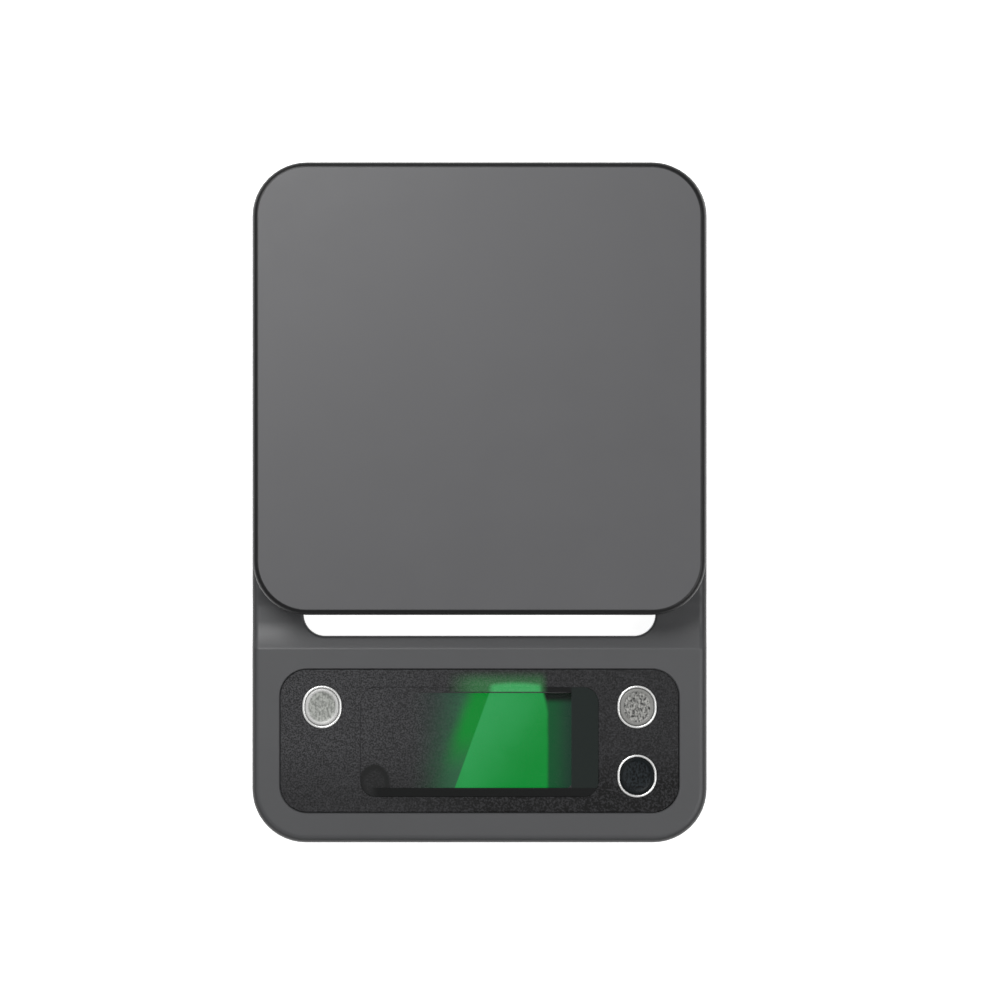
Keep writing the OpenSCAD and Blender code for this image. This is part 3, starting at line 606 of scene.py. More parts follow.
@dataclass(frozen=True)
class LitField:
    """The display's backlit field: a bright slanted patch of painted reflection in its glow, a strong fringe at
    its left and a dim end.
    """

    name: str
    # Bright and deep colour the painted reflection, the slanted patch in the glow.
    bright: Colour
    deep: Colour
    fringe: Colour
    haze: Colour
    dark: Colour
    dim: Colour
    low: Point
    high: Point
    right: float
    grit: Colour = (0.02, 0.045, 0.034)
    shade: Colour = (0.012, 0.042, 0.026)
    border: Colour = (0.003, 0.003, 0.003)
    haze_left: Span = (-17.0, -4.0)
    grit_right: Span = (-1.0, -9.0)
    fringe_left: Span = (-8.0, -2.5)
    fringe_front: Span = (-77.0, -63.0)
    fall: Span = (2.0, 3.3)
    lean: Span = (-60.0, -50.0)
    border_front: Span = (-56.5, -54.5)
    strength: float = 1.0

    def make(self) -> bpy.types.Material:
        """Builds the material.

        Returns:
            The finished material.
        """
        recipe = Recipe(self.name)
        x, y, _ = recipe.axes()
        slope = (self.high[0] - self.low[0]) / (self.high[1] - self.low[1])
        # The offset from the slanted edge of the painted reflection.
        painted_sheen_offset = x - (self.low[0] + slope * (y - self.low[1]))
        cloud = recipe.noise(9.0, 2.0)
        lines = recipe.noise(0.45, 1.0)
        wander = painted_sheen_offset + 1.5 * (cloud - 0.5)
        glow = recipe.mix(wander.step(*self.haze_left), self.dark, self.haze)
        grit = recipe.noise(0.42, 2.0).step(0.36, 0.66) * wander.step(*self.grit_right)
        glow = recipe.mix(0.5 * grit, glow, self.grit)
        beside = wander.step(*self.fringe_left) * y.step(*self.fringe_front)
        glow = recipe.mix(beside, glow, self.fringe)
        fall = (0.045 * x - 0.035 * y + 0.4 * (cloud - 0.5)).step(*self.fall)
        # Painted reflection: right of the slanted edge the glow turns bright, falling off to deep, standing in for
        # a sheen on the glass.
        glow = recipe.mix(painted_sheen_offset.step(-0.2, 0.25), glow, recipe.mix(fall, self.bright, self.deep))
        edge = x + 0.5 * (cloud - 0.5) + 1.6 * y.step(*self.lean)
        end = edge.step(self.right - 0.5, self.right + 0.7)
        rest = recipe.mix(x.step(self.right + 0.5, self.right + 7.0), self.dim, self.shade)
        glow = recipe.mix(end, glow, recipe.mix(y.step(*self.border_front), rest, self.border))
        values = {
            "Base Color": (0.004, 0.005, 0.005),
            "Emission Color": recipe.mix(0.1 * lines, glow, self.dim),
            "Emission Strength": self.strength,
            "Specular IOR Level": 0.15,
            "Roughness": 0.22 + 0.1 * cloud,
            "Normal": recipe.bump(lines, 0.004),
        }
        return recipe.done(recipe.shader(values))


@dataclass(frozen=True)
class Board:
    """Green solder mask with traces and copper lands showing through."""

    name: str
    mask: Colour = (0.012, 0.09, 0.035)
    copper: Colour = (0.05, 0.2, 0.08)

    def make(self) -> bpy.types.Material:
        """Builds the material.

        Returns:
            The finished material.
        """
        recipe = Recipe(self.name)
        values = {"Vector": recipe.place(), "Scale": 0.45, "Randomness": 0.7}
        settings = {"feature": "DISTANCE_TO_EDGE"}
        edge = recipe.add("ShaderNodeTexVoronoi", settings, values, "Distance")
        trace = edge.step(0.09, 0.05)
        values = {
            "Base Color": recipe.mix(trace, self.mask, self.copper),
            "Roughness": 0.32 + 0.1 * recipe.noise(1.0),
            "Normal": recipe.bump(trace, 0.03),
        }
        return recipe.done(recipe.shader(values))


@dataclass(frozen=True)
class Wrap:
    """A battery's printed sleeve: a dark half, a band of colour and bare steel at both ends."""

    name: str
    colour: Colour
    band: Colour
    x: float
    flip: int
    bare_tone: Colour = (0.6, 0.6, 0.6)
    band_from: Span = (7.9, 8.1)
    plus_from: Span = (20.2, 20.4)
    minus_from: Span = (-21.6, -21.8)

    def make(self) -> bpy.types.Material:
        """Builds the material.

        Returns:
            The finished material.
        """
        recipe = Recipe(self.name)
        x, _, _ = recipe.axes()
        ahead = self.flip * (x - self.x)
        bare = ahead.step(*self.plus_from) + ahead.step(*self.minus_from)
        tone = recipe.mix(ahead.step(*self.band_from), self.colour, self.band)
        tone = recipe.mix(bare.clamped(), tone, self.bare_tone)
        cloud = recipe.noise(3.0, 3.0)
        values = {
            "Base Color": tone,
            "Metallic": bare.clamped(),
            "Roughness": 0.24 + 0.16 * cloud,
            "Normal": recipe.bump(cloud, 0.01),
        }
        return recipe.done(recipe.shader(values))


# ---- Meshes ----


@dataclass(frozen=True)
class Plan:
    """A rectangle with round corners seen from above, in millimetres."""

    width: float
    length: float
    back_radius: float
    front_radius: float
    x: float = 0.0
    y: float = 0.0
    steps: int = 12

    @classmethod
    def round_rect(
        cls, width: float, length: float, radius: float, x: float = 0.0, y: float = 0.0
    ) -> "Plan":
        """A plan whose four corners are alike."""
        return cls(width, length, radius, radius, x, y)

    def half(self, inset: float, stations: Sequence[float]) -> list[Point]:
        """The right half of the outline.

        Args:
            inset: How far it is drawn in; below 0 it grows.
            stations: Extra points along the straight side, as values of Y.

        Returns:
            Half widths and Y values from the front to the back.
        """
        wide, long = self.width / 2 - inset, self.length / 2 - inset
        front = min(max(self.front_radius - inset, 0.05), wide, long)
        back = min(max(self.back_radius - inset, 0.05), wide, long)
        low, high = self.y - long, self.y + long
        corner = [HALF_PI * i / self.steps for i in range(self.steps + 1)]
        points = [(wide - front + front * math.sin(a), low + front - front * math.cos(a)) for a in corner]
        edge = 0.2
        points += [(wide, y) for y in stations if low + front + edge < y < high - back - edge]
        points += [(wide - back + back * math.cos(a), high - back + back * math.sin(a)) for a in corner]
        return points


def _at(level: Level, y: float) -> float:
    """A ring's height at y, for a fixed height or one that follows a line."""
    return level(y) if callable(level) else level


def fillet(
    radius: float, level: Level, top: bool = True, inset: float = 0.0, steps: int = 8
) -> list[RingSpec]:
    """Rings that round an outer edge.

    Args:
        radius: The edge's radius, or below 0 for an edge that flares outwards.
        level: The height of the face that the edge ends in.
        top: Whether the face is above the edge.
        inset: Where the side wall is.
        steps: How many rings the round takes.

    Returns:
        The rings from the wall up to the face, or from the face up to the wall.
    """
    rings: list[RingSpec] = []
    sign = 1.0 if top else -1.0
    drop = abs(radius)
    for i in range(steps + 1):
        angle = HALF_PI * i / steps
        back = drop * (1.0 - math.sin(angle)) * sign

        def height(y: float, back: float = back) -> float:
            return _at(level, y) - back

        rings.append((inset + radius * (1.0 - math.cos(angle)), height))
    return rings if top else rings[::-1]


def skin_of(name: str, mesh: bmesh.types.BMesh) -> bpy.types.Object:
    """Turns a mesh in millimetres into an object in metres.

    Args:
        name: The object's name.
        mesh: The mesh, which is freed.

    Returns:
        The object, linked to the scene.
    """
    bmesh.ops.remove_doubles(mesh, verts=mesh.verts, dist=0.004)
    bmesh.ops.scale(mesh, vec=(MM, MM, MM), verts=mesh.verts)
    data = bpy.data.meshes.new(name)
    mesh.to_mesh(data)
    mesh.free()
    made = bpy.data.objects.new(name, data)
    bpy.context.scene.collection.objects.link(made)
    return made


def loft(
    name: str, plan: Plan, rings: Sequence[RingSpec], stations: Sequence[float] = (), looped: bool = False
) -> bpy.types.Object:
    """A closed skin through rings of one plan.

    Args:
        name: The object's name.
        plan: The outline that the rings are drawn in from.
        rings: Each ring's inset and height, from the bottom to the top.
        stations: Extra points along the straight sides.
        looped: Whether the last ring joins the first, and there are no caps.

    Returns:
        The object.
    """
    mesh = bmesh.new()
    loops: list[list[bmesh.types.BMVert]] = []
    for inset, level in rings:
        half = plan.half(inset, stations)
        outline = half + [(-x, y) for x, y in reversed(half)]
        loops.append([mesh.verts.new((plan.x + x, y, _at(level, y))) for x, y in outline])
    count = len(loops[0])
    for low, high in pairwise(loops + loops[:1] if looped else loops):
        for i in range(count):
            j = (i + 1) % count
            mesh.faces.new((low[i], low[j], high[j], high[i]))
    if not looped:
        for i in range(count // 2 - 1):
            low, high = loops[0], loops[-1]
            mesh.faces.new((low[count - 1 - i], low[count - 2 - i], low[i + 1], low[i]))
            mesh.faces.new((high[i], high[i + 1], high[count - 2 - i], high[count - 1 - i]))
    return skin_of(name, mesh)


def prism(
    name: str, points: Sequence[Point], low: float, high: float, along_x: bool = False
) -> bpy.types.Object:
    """A straight prism.

    Args:
        name: The object's name.
        points: Its outline, anticlockwise, as X and Y, or as Y and Z when it runs along X.
        low: Where it starts.
        high: Where it ends.
        along_x: Whether it runs along X and not Z.

    Returns:
        The object.
    """
    mesh = bmesh.new()
    ends = []
    for level in (low, high):
        spots = [(level, a, b) if along_x else (a, b, level) for a, b in points]
        ends.append([mesh.verts.new(spot) for spot in spots])
    mesh.faces.new(reversed(ends[0]))
    mesh.faces.new(ends[1])
    count = len(points)
    for i in range(count):
        j = (i + 1) % count
        mesh.faces.new((ends[0][i], ends[0][j], ends[1][j], ends[1][i]))
    return skin_of(name, mesh)


def block(x: Span, y: Span, z: Span) -> bpy.types.Object:
    """A plain box between two values on each axis, used only to shape a piece."""
    corners = [(x[0], y[0]), (x[1], y[0]), (x[1], y[1]), (x[0], y[1])]
    return prism("block", corners, z[0], z[1])


def mirrored(side: Sequence[Point], middle: float) -> list[Point]:
    """An outline from its right side, as half widths and Y values, about a middle along X."""
    return [(middle + x, y) for x, y in side] + [(middle - x, y) for x, y in reversed(side)]


def disc(name: str, x: float, y: float, rings: Sequence[RingSpec]) -> bpy.types.Object:
    """A turned piece about an upright axis.

    Args:
        name: The object's name.
        x: Where the axis is along X.
        y: Where the axis is along Y.
        rings: Its radii and heights, from the bottom to the top.

    Returns:
        The object.
    """
    widest = max(radius for radius, _ in rings)
    plan = Plan(2 * widest, 2 * widest, widest, widest, x, y, 14)
    return loft(name, plan, [(widest - radius, level) for radius, level in rings])


class Workpiece:
    """A closed mesh that others are added to and cut from."""

    def __init__(self, start: bpy.types.Object, name: str | None = None) -> None:
        """Starts from an object.

        Args:
            start: A closed mesh.
            name: A new name for it, if it needs one.
        """
        self.object = start
        if name:
            start.name = name
            start.data.name = name

    def _combine(self, operation: str, others: Iterable[bpy.types.Object]) -> "Workpiece":
        """Applies one boolean with other closed meshes, one after another.

        Args:
            operation: The modifier's operation.
            others: The other meshes, which are used up.

        Returns:
            This workpiece.
        """
        for other in others:
            step = self.object.modifiers.new(operation.lower(), "BOOLEAN")
            step.operation = operation
            step.solver = "MANIFOLD"
            step.object = other
            bpy.context.view_layer.update()
            graph = bpy.context.evaluated_depsgraph_get()
            made = bpy.data.meshes.new_from_object(self.object.evaluated_get(graph))
            self.object.modifiers.clear()
            old = self.object.data
            name = old.name
            self.object.data = made
            bpy.data.meshes.remove(old)
            made.name = name
            bpy.data.objects.remove(other)
        return self

    def add(self, *others: bpy.types.Object) -> "Workpiece":
        """Joins other solids to this one."""
        return self._combine("UNION", others)

    def cut(self, *others: bpy.types.Object) -> "Workpiece":
        """Cuts other solids out of this one."""
        return self._combine("DIFFERENCE", others)

    def keep(self, *others: bpy.types.Object) -> "Workpiece":
        """Keeps only what is inside the other solids too."""
        return self._combine("INTERSECT", others)

    def smooth(self, sharp: float = 32.0, bevel: float = 0.0) -> "Workpiece":
        """Smooths the shading between sharp edges, and can break those edges.

        Args:
            sharp: The angle in degrees from which an edge stays sharp.
            bevel: The width in millimetres that sharp edges are broken by.

        Returns:
            This workpiece.
        """
        mesh = bmesh.new()
        mesh.from_mesh(self.object.data)
        bmesh.ops.remove_doubles(mesh, verts=mesh.verts, dist=1e-6)
        bmesh.ops.dissolve_degenerate(mesh, edges=mesh.edges, dist=1e-6)
        mesh.to_mesh(self.object.data)
        mesh.free()
        if bevel:
            step = self.object.modifiers.new("broken_edges", "BEVEL")
            step.width = bevel * MM
            step.segments = 2
            step.limit_method = "ANGLE"
            step.angle_limit = math.radians(sharp)
        self.object.data.shade_smooth()
        self.object.data.set_sharp_from_angle(angle=math.radians(sharp))
        step = self.object.modifiers.new("even_light", "WEIGHTED_NORMAL")
        step.keep_sharp = True
        step.weight = 90
        return self


def dress(
    piece: bpy.types.Object, material: bpy.types.Material, body: str, slot: str, *nodes: str
) -> bpy.types.Object:
    """Gives a piece its looks and its place in the frame.

    Args:
        piece: The piece.
        material: Its material.
        body: The body that it rides on.
        slot: The record's slot for its finish; not used.
        nodes: The nodes that it stands for.

    Returns:
        The piece.
    """
    piece.data.materials.clear()
    piece.data.materials.append(material)
    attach(piece, body)
    if nodes:
        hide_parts(*nodes)
    LOG.info("built %s", piece.name)
    return piece


@dataclass(frozen=True)
class NodeBox:
    """A node's box at rest, in millimetres."""

    low: Vector
    high: Vector

    @classmethod
    def of(cls, node: str) -> "NodeBox":
        """The box of that node."""
        low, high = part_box(node)
        return cls(low / MM, high / MM)

    @property
    def size(self) -> Vector:
        """Its width, length and height."""
        return self.high - self.low

    @property
    def middle(self) -> Vector:
        """Its middle."""
        return (self.high + self.low) / 2


# ---- Sub-assemblies ----


@dataclass
class Deck:
    """The line of the upper surface from the back, through the dip at the slot, to the head."""

    rear: float = 14.3
    neck: float = 13.2
    head: float = 15.2
    dip_start: float = -24.0
    dip_end: float = -29.3
    rise_start: float = -33.3
    crease: float = -40.8
    lip: float = 4.8

    def top(self, y: float) -> float:
        """Follows the deck's line.

        Args:
            y: Where, along Y.

        Returns:
            The height of the deck there.
        """
        if y >= self.dip_start:
            return self.rear
        if y > self.dip_end:
            share = (self.dip_start - y) / (self.dip_start - self.dip_end)
            return self.rear + (self.neck - self.rear) * (1.0 - math.cos(math.pi * share)) / 2
        if y >= self.rise_start:
            return self.neck
        if y > self.crease:
            share = (self.rise_start - y) / (self.rise_start - self.crease)
            return self.neck + (self.head - self.neck) * share**1.7
        return self.head

    def under(self, y: float) -> float:
        """The height of the lip's lower edge at y."""
        return self.top(y) - self.lip

    def lowered(self, drop: float) -> Callable[[float], float]:
        """The deck's line moved down by a drop."""
        return lambda y: self.top(y) - drop

    def stations(self) -> list[float]:
        """Lists points that follow the line closely.

        Returns:
            Values of Y.
        """
        fine = [self.crease - 0.35, self.crease - 0.1]
        count = 34
        start, end = self.crease, self.dip_start + 0.5
        fine += [start + 0.12 + (end - start) * i / count for i in range(count + 1)]
        return [-76.0, -64.0, -52.0] + fine + [-12.0, 0.0, 15.0, 30.0, 45.0, 60.0, 74.0]


@dataclass
class Shells:
    """The two halves of the base."""

    deck: Deck = field(default_factory=Deck)
    corner: float = CORNER
    lip_radius: float = 2.2
    wall: float = 2.0
    pod_corner: float = 13.0
    pod_round: float = 5.0
    neck_base: float = 5.2
    neck_reach: float = 14.0
    neck_hollow: Span = (-51.0, -11.6)
    rim_low: float = 9.45
    slot_width: float = 98.4
    slot_length: float = 12.0
    slot_y: float = -31.3
    slot_round: float = 0.7
    slot_wall: float = 1.8
    plateau: Plan = Plan(96.0, 93.2, 6.0, 15.0, 0.0, 26.6)
    plateau_top: float = 19.0
    hump: Plan = Plan(54.4, 22.1, 5.0, 5.0, -14.3, 71.05)
    hump_top: float = 18.8
    hump_hollow: Plan = Plan(52.9, 20.35, 4.25, 4.25, -14.3, 71.175)
    hump_wall: float = 1.4
    thin_wall: float = 1.8
    edge: float = 0.9
    shelf: float = 12.2
    aperture: Plan = Plan(51.6, 27.5, 1.5, 1.5, 0.0, -66.05)
    bay_x: Span = (-38.5, 9.9)
    bay_y: Span = (70.3, 88.0)
    bay_top: float = 11.3
    bay_wall: float = 1.4
    rib_x: Span = (-26.3, -2.3)
    pivot_y: Span = (75.5, 79.1)
    pivot_gap: float = 1.5
    pivot_wall: float = 2.0
    cell_screws: Span = (0.9, 7.3)
    screw_recess: Plan = Plan(17.0, 12.0, 1.2, 1.2, 0.0, 4.1)
    score: tuple[Span, Span] = ((-48.5, 48.5), (-15.2, -14.8))
    past: float = 30.0
    far: float = 40.0

    def upper(self) -> bpy.types.Object:
        """Builds the upper shell: lip, deck, plateau, hump, head and panel recess.

        Returns:
            The shell.
        """
        outer = NodeBox.of("upper_shell")
        size = outer.size
        plan = Plan.round_rect(size.x, size.y, self.corner, 0.0, outer.middle.y)
        lip, deck = self.lip_radius, self.deck
        rings = fillet(lip, deck.under, top=False) + fillet(lip, deck.top)
        body = Workpiece(loft("upper_shell_cover", plan, rings, deck.stations()))
        edge = fillet(self.edge, self.plateau_top, steps=5)
        body.add(loft("plateau", self.plateau, [(0.0, deck.rear - 2.5), *edge]))
        edge = fillet(self.edge, self.hump_top, steps=5)
        body.add(loft("hump", self.hump, [(0.0, deck.rear - 2.6), *edge]))
        body.cut(*self._upper_hollows(size))
        body.add(self._slot_collar(deck.under(self.slot_y) + 0.2, deck.neck - 1.0))
        body.cut(self._slot_cutter(upper=True), *self._head_cutters())
        body.cut(self._rear_clearance())
        return body.smooth().object

    def _upper_hollows(self, size: Vector) -> list[bpy.types.Object]:
        """Builds the spaces inside the upper shell.

        Args:
            size: The shell's width, length and height.

        Returns:
            The solids to cut away.
        """
        gap = self.wall - 0.1
        inner = Plan.round_rect(size.x - 2 * gap, size.y - 2 * gap, self.pod_corner + 0.1)
        rings: list[RingSpec] = [(0.0, 0.0), (0.0, self.deck.lowered(self.wall))]
        main = Workpiece(loft("hollow", inner, rings, self.deck.stations()))
        panel = NodeBox.of("control_panel")
        around = 4.0
        shelf = Plan.round_rect(panel.size.x + around, panel.size.y + around, 9.5, 0.0, panel.middle.y)
        main.cut(loft("shelf", shelf, [(0.0, self.shelf), (0.0, self.past)]))
        wall = self.thin_wall
        high = loft("plateau_hollow", self.plateau, [(wall, 5.0), (wall, self.plateau_top - wall)])
        ceiling = self.hump_top - self.hump_wall
        rear = loft("hump_hollow", self.hump_hollow, [(0.0, 5.1), (0.0, ceiling)])
        cells = block(self.bay_x, (79.1, 91.4), (5.0, 13.05))
        return [main.object, high, rear, cells]

    def _slot_collar(self, low: float, high: float) -> bpy.types.Object:
        """Builds the wall round the slot.

        Args:
            low: Where it starts.
            high: Where it ends.

        Returns:
            The wall, not yet hollow.
        """
        grow = self.slot_wall
        width, length = self.slot_width + 2 * grow, self.slot_length + 2 * grow
        plan = Plan.round_rect(width, length, self.slot_length / 2 + grow, 0.0, self.slot_y)
        return loft("collar", plan, [(0.0, low), (0.0, high)])

    def _slot_cutter(self, upper: bool) -> bpy.types.Object:
        """Builds what cuts the slot, with the rounded edge of one shell.

        Args:
            upper: Whether it is for the upper shell.

        Returns:
            The solid to cut away.
        """
        plan = Plan.round_rect(self.slot_width, self.slot_length, self.slot_length / 2, 0.0, self.slot_y)
        flare = self.slot_round
        level: Level = self.deck.top if upper else self.neck_base
        rounded = [(-inset, height) for inset, height in fillet(flare, level, top=upper, steps=5)]
        if upper:
            rings = [(0.0, 0.0), *rounded, (-flare, self.far)]
        else:
            rings = [(-flare, -5.0), *rounded, (0.0, self.far)]
        return loft("slot", plan, rings, [self.slot_y])

    def _head_cutters(self) -> list[bpy.types.Object]:
        """Builds the recess for the panel and the openings through its shelf.

        Returns:
            The solids to cut away.
        """
        panel = NodeBox.of("control_panel")
        plan = Plan.round_rect(panel.size.x + 0.4, panel.size.y + 0.4, 7.7, 0.0, panel.middle.y)
        flare, head = 0.25, self.deck.head
        rings = [(0.0, panel.low.z), (0.0, head - flare), (-flare, head), (-flare, head + 4.0)]
        cutters = [loft("panel_recess", plan, rings)]
        cutters.append(loft("aperture", self.aperture, [(0.0, 4.0), (0.0, head)]))
        for name in BUTTONS:
            spot = NodeBox.of(f"{name}_button").middle
            hole = Plan.round_rect(9.8, 10.8, 4.89, spot.x, spot.y)
            cutters.append(loft("button_hole", hole, [(0.0, 4.0), (0.0, head)]))
        return cutters

    def _rear_clearance(self) -> bpy.types.Object:
        """Builds the opening that the load cell's free end stands up through.

        Returns:
            The solid to cut away.
        """
        cell = NodeBox.of("load_cell")
        plan = Plan.round_rect(20.0, 18.0, 2.0, 0.0, cell.high.y - 7.0)
        return loft("cell_opening", plan, [(0.0, self.deck.rear), (0.0, self.far)])

    def lower(self) -> bpy.types.Object:
        """Builds the lower shell: two pods, the neck between them and the battery bay.

        Returns:
            The shell.
        """
        outer = NodeBox.of("lower_shell")
        width, back = outer.size.x, outer.high.y
        half_slot = self.slot_length / 2
        split_back, split_front = self.slot_y + half_slot, self.slot_y - half_slot
        top, floor = self.rim_low, outer.low.z
        rear = Plan.round_rect(width, back - split_back, self.pod_corner, 0.0, (back + split_back) / 2)
        front = Plan.round_rect(width, back + split_front, self.pod_corner, 0.0, (split_front - back) / 2)
        sides = [-76.0, -60.0, -10.0, 0.0, 20.0, 40.0, 60.0, 74.0]
        edge = fillet(self.pod_round, floor, top=False)
        body = Workpiece(loft("lower_shell_tray", rear, [*edge, (0.0, top)], sides))
        body.add(loft("front_pod", front, [*edge, (0.0, top)], sides))
        half, reach = width / 2, self.neck_reach
        body.add(block((-half, half), (split_front - reach, split_back + reach), (self.neck_base, top)))
        rim = Plan.round_rect(width, 2 * back, self.pod_corner)
        body.add(loft("rim", rim, [(0.0, top - 1.0), (0.0, outer.high.z)]))
        body.cut(*self._lower_hollows(rear, front, rim, floor))
        body.add(self._slot_collar(self.neck_base + 1.0, top), *self._bay_walls(floor))
        body.cut(self._slot_cutter(upper=False), *self._underside_cutters(floor))
        return body.smooth().object

    def _lower_hollows(self, rear: Plan, front: Plan, rim: Plan, floor: float) -> list[bpy.types.Object]:
        """Builds the spaces inside the pods, the neck and the rim.

        Args:
            rear: The rear pod's outline.
            front: The front pod's outline.
            rim: The rim's outline.
            floor: The height of the shell's lowest face.

        Returns:
            The solids to cut away.
        """
        wall, made = self.wall, []
        for plan in (rear, front):
            edge = fillet(self.pod_round - wall, floor + wall, top=False, inset=wall)
            made.append(loft("pod_hollow", plan, [*edge, (wall, self.past)]))
        half = rim.width / 2 - wall + 0.03
        made.append(block((-half, half), self.neck_hollow, (self.neck_base + wall, self.past)))
        made.append(loft("rim_hollow", rim, [(wall + 0.02, 8.4), (wall + 0.02, self.past)]))
        return made

    def _bay_walls(self, floor: float) -> list[bpy.types.Object]:
        """Builds the walls that hold the batteries, and the door's bearings.

        Args:
            floor: The height of the shell's lowest face.

        Returns:
            The solids to add.
        """
        door, wall, low = NodeBox.of("battery_door"), self.bay_wall, floor + 1.0
        (left, right), (front, back) = self.bay_x, self.bay_y
        height = (low, self.bay_top)
        walls = [block((x, x + wall), (front - wall, back), height) for x in (left - wall, right)]
        walls.append(block((left - 0.1, right + 0.1), (front - wall, front), height))
        for x in self.rib_x:
            walls.append(block((x, x + wall), (front - 0.1, 75.3), (low, 6.7)))
        gap, thick = self.pivot_gap, self.pivot_wall
        for x in (door.low.x + DOOR_EAR - gap - thick, door.high.x - DOOR_EAR + gap):
            walls.append(block((x, x + thick), self.pivot_y, (floor + 0.01, 4.2)))
        return walls

    def _underside_cutters(self, floor: float) -> list[bpy.types.Object]:
        """Builds the recesses and openings of the underside.

        Args:
            floor: The height of the shell's lowest face.

        Returns:
            The solids to cut away.
        """
        cutters = []
        for node in FOOT_NODES:
            spot = NodeBox.of(node).middle
            rings = [(5.75, -3.0), (5.75, floor), (5.45, floor + 0.3), (5.45, floor + 1.0)]
            cutters.append(disc("foot_recess", spot.x, spot.y, rings))
        unit = NodeBox.of("unit_button").middle
        rings = [(1.8, -3.0), (1.8, floor), (1.5, floor + 0.35), (1.5, floor + 4.0)]
        cutters.append(disc("unit_hole", unit.x, unit.y, rings))
        half, middle = self.door_half, self.door_middle
        outer, inner = half + self.pivot_gap, half - 1.1
        latch = outer - 0.9
        side = [(outer, 75.5), (outer, 79.0), (inner, 80.0), (inner, 87.4), (latch, 88.3), (latch, 95.0)]
        cutters.append(prism("door_opening", mirrored(side, middle), floor - 3.0, floor + 2.05))
        span = (middle - half - 0.3, middle + half + 0.3)
        cutters.append(block(span, (88.0, 96.0), (floor - 2.0, 9.4)))
        for x in (middle - outer, middle + half - self.pivot_gap):
            cutters.append(block((x, x + 3.0), (75.51, 79.01), (floor - 2.5, 4.1)))
        rings = [(-0.1, -3.0), (-0.1, floor), (0.0, floor + 0.2), (0.0, floor + 0.4)]
        cutters.append(loft("screw_recess", self.screw_recess, rings))
        for y in self.cell_screws:
            rings = [(2.85, floor - 1.0), (2.8, floor + 0.4), (1.58, floor + 1.9), (1.55, floor + 4.0)]
            cutters.append(disc("countersink", 0.0, y, rings))
        cutters.append(block(*self.score, (floor - 1.0, floor + 0.3)))
        return cutters

    @property
    def door_half(self) -> float:
        """Half the width of the door between its ears."""
        return NodeBox.of("battery_door").size.x / 2 - DOOR_EAR

    @property
    def door_middle(self) -> float:
        """The middle of the door along X."""
        return NodeBox.of("battery_door").middle.x

    def build(self, plastic: Moulded) -> None:
        """Builds both shells.

        Args:
            plastic: Their finish.
        """
        material = plastic.make()
        dress(self.upper(), material, "base", "shell_plastic", "upper_shell")
        dress(self.lower(), material, "base", "shell_plastic", "lower_shell")


@dataclass
class Platform:
    """The weighing plate with its rolled edge and the clips under it."""

    corner: float = CORNER
    wall: float = 1.8
    depth: float = 7.1
    soften: float = 0.35
    edge: float = 1.6
    clip_x: float = 45.05
    clip_y: tuple[float, ...] = (20.0, 34.5, 50.0)
    clip_half: float = 2.5
    clip_thick: float = 1.2
    hook: float = 0.7

    def build(self, finish: Moulded) -> None:
        """Builds the plate as one closed skin with a hollow underneath.

        Args:
            finish: Its finish.
        """
        box = NodeBox.of("platform_cover")
        size, middle, top = box.size, box.middle, box.high.z
        plan = Plan.round_rect(size.x, size.y, self.corner, 0.0, middle.y)
        wall, soften = self.wall, self.soften
        low, ceiling = top - self.depth, top - wall
        rings: list[RingSpec] = [
            (wall + 0.5, ceiling),
            (wall + 0.15, ceiling - 0.15),
            (wall, ceiling - 0.5),
            (wall, low + soften),
            (wall - soften * 0.3, low + soften * 0.3),
            (wall - soften, low),
            (soften, low),
            (soften * 0.3, low + soften * 0.3),
            (0.0, low + soften),
            *fillet(self.edge, top, steps=10),
        ]
        body = Workpiece(loft("weighing_plate", plan, rings))
        for side in (-1, 1):
            for y in self.clip_y:
                inner = side * self.clip_x
                outer = inner + side * self.clip_thick
                tip = inner - side * self.hook
                half, near = self.clip_half, self.clip_half - 0.01
                stem = (min(inner, outer), max(inner, outer))
                hook = (min(tip, outer), max(tip, outer))
                body.add(block(stem, (y - half, y + half), (box.low.z + 0.4, ceiling + 0.5)))
                body.add(block(hook, (y - near, y + near), (box.low.z, box.low.z + 0.8)))
        dress(body.smooth().object, finish.make(), "platform", "platform_plastic", "platform_cover")


class CapLook(Enum):
    """How a button's cap is finished: name, face, rim, metallic share and slot."""

    SILVER = ("silver_cap", (0.28, 0.29, 0.27), (0.5, 0.5, 0.49), 0.2, "button_silver")
    GREY = ("grey_cap", (0.2, 0.2, 0.19), (0.22, 0.22, 0.21), 0.1, "button_grey")
    BLACK = ("black_cap", (0.01, 0.013, 0.015), (0.004, 0.006, 0.007), 0.0, "button_black")

    def finish(self, centre: Point) -> ButtonFinish:
        """Makes the finish of one cap.

        Args:
            centre: The middle of the cap, as X and Y.

        Returns:
            The finish.
        """
        name, face, rim, metallic, _ = self.value
        contrast = 0.4 if self is CapLook.SILVER else 0.95
        specular = 0.12 if self is CapLook.BLACK else 0.5
        return ButtonFinish(
            name, face, rim, centre, contrast=contrast, metallic=metallic, specular=specular
        )


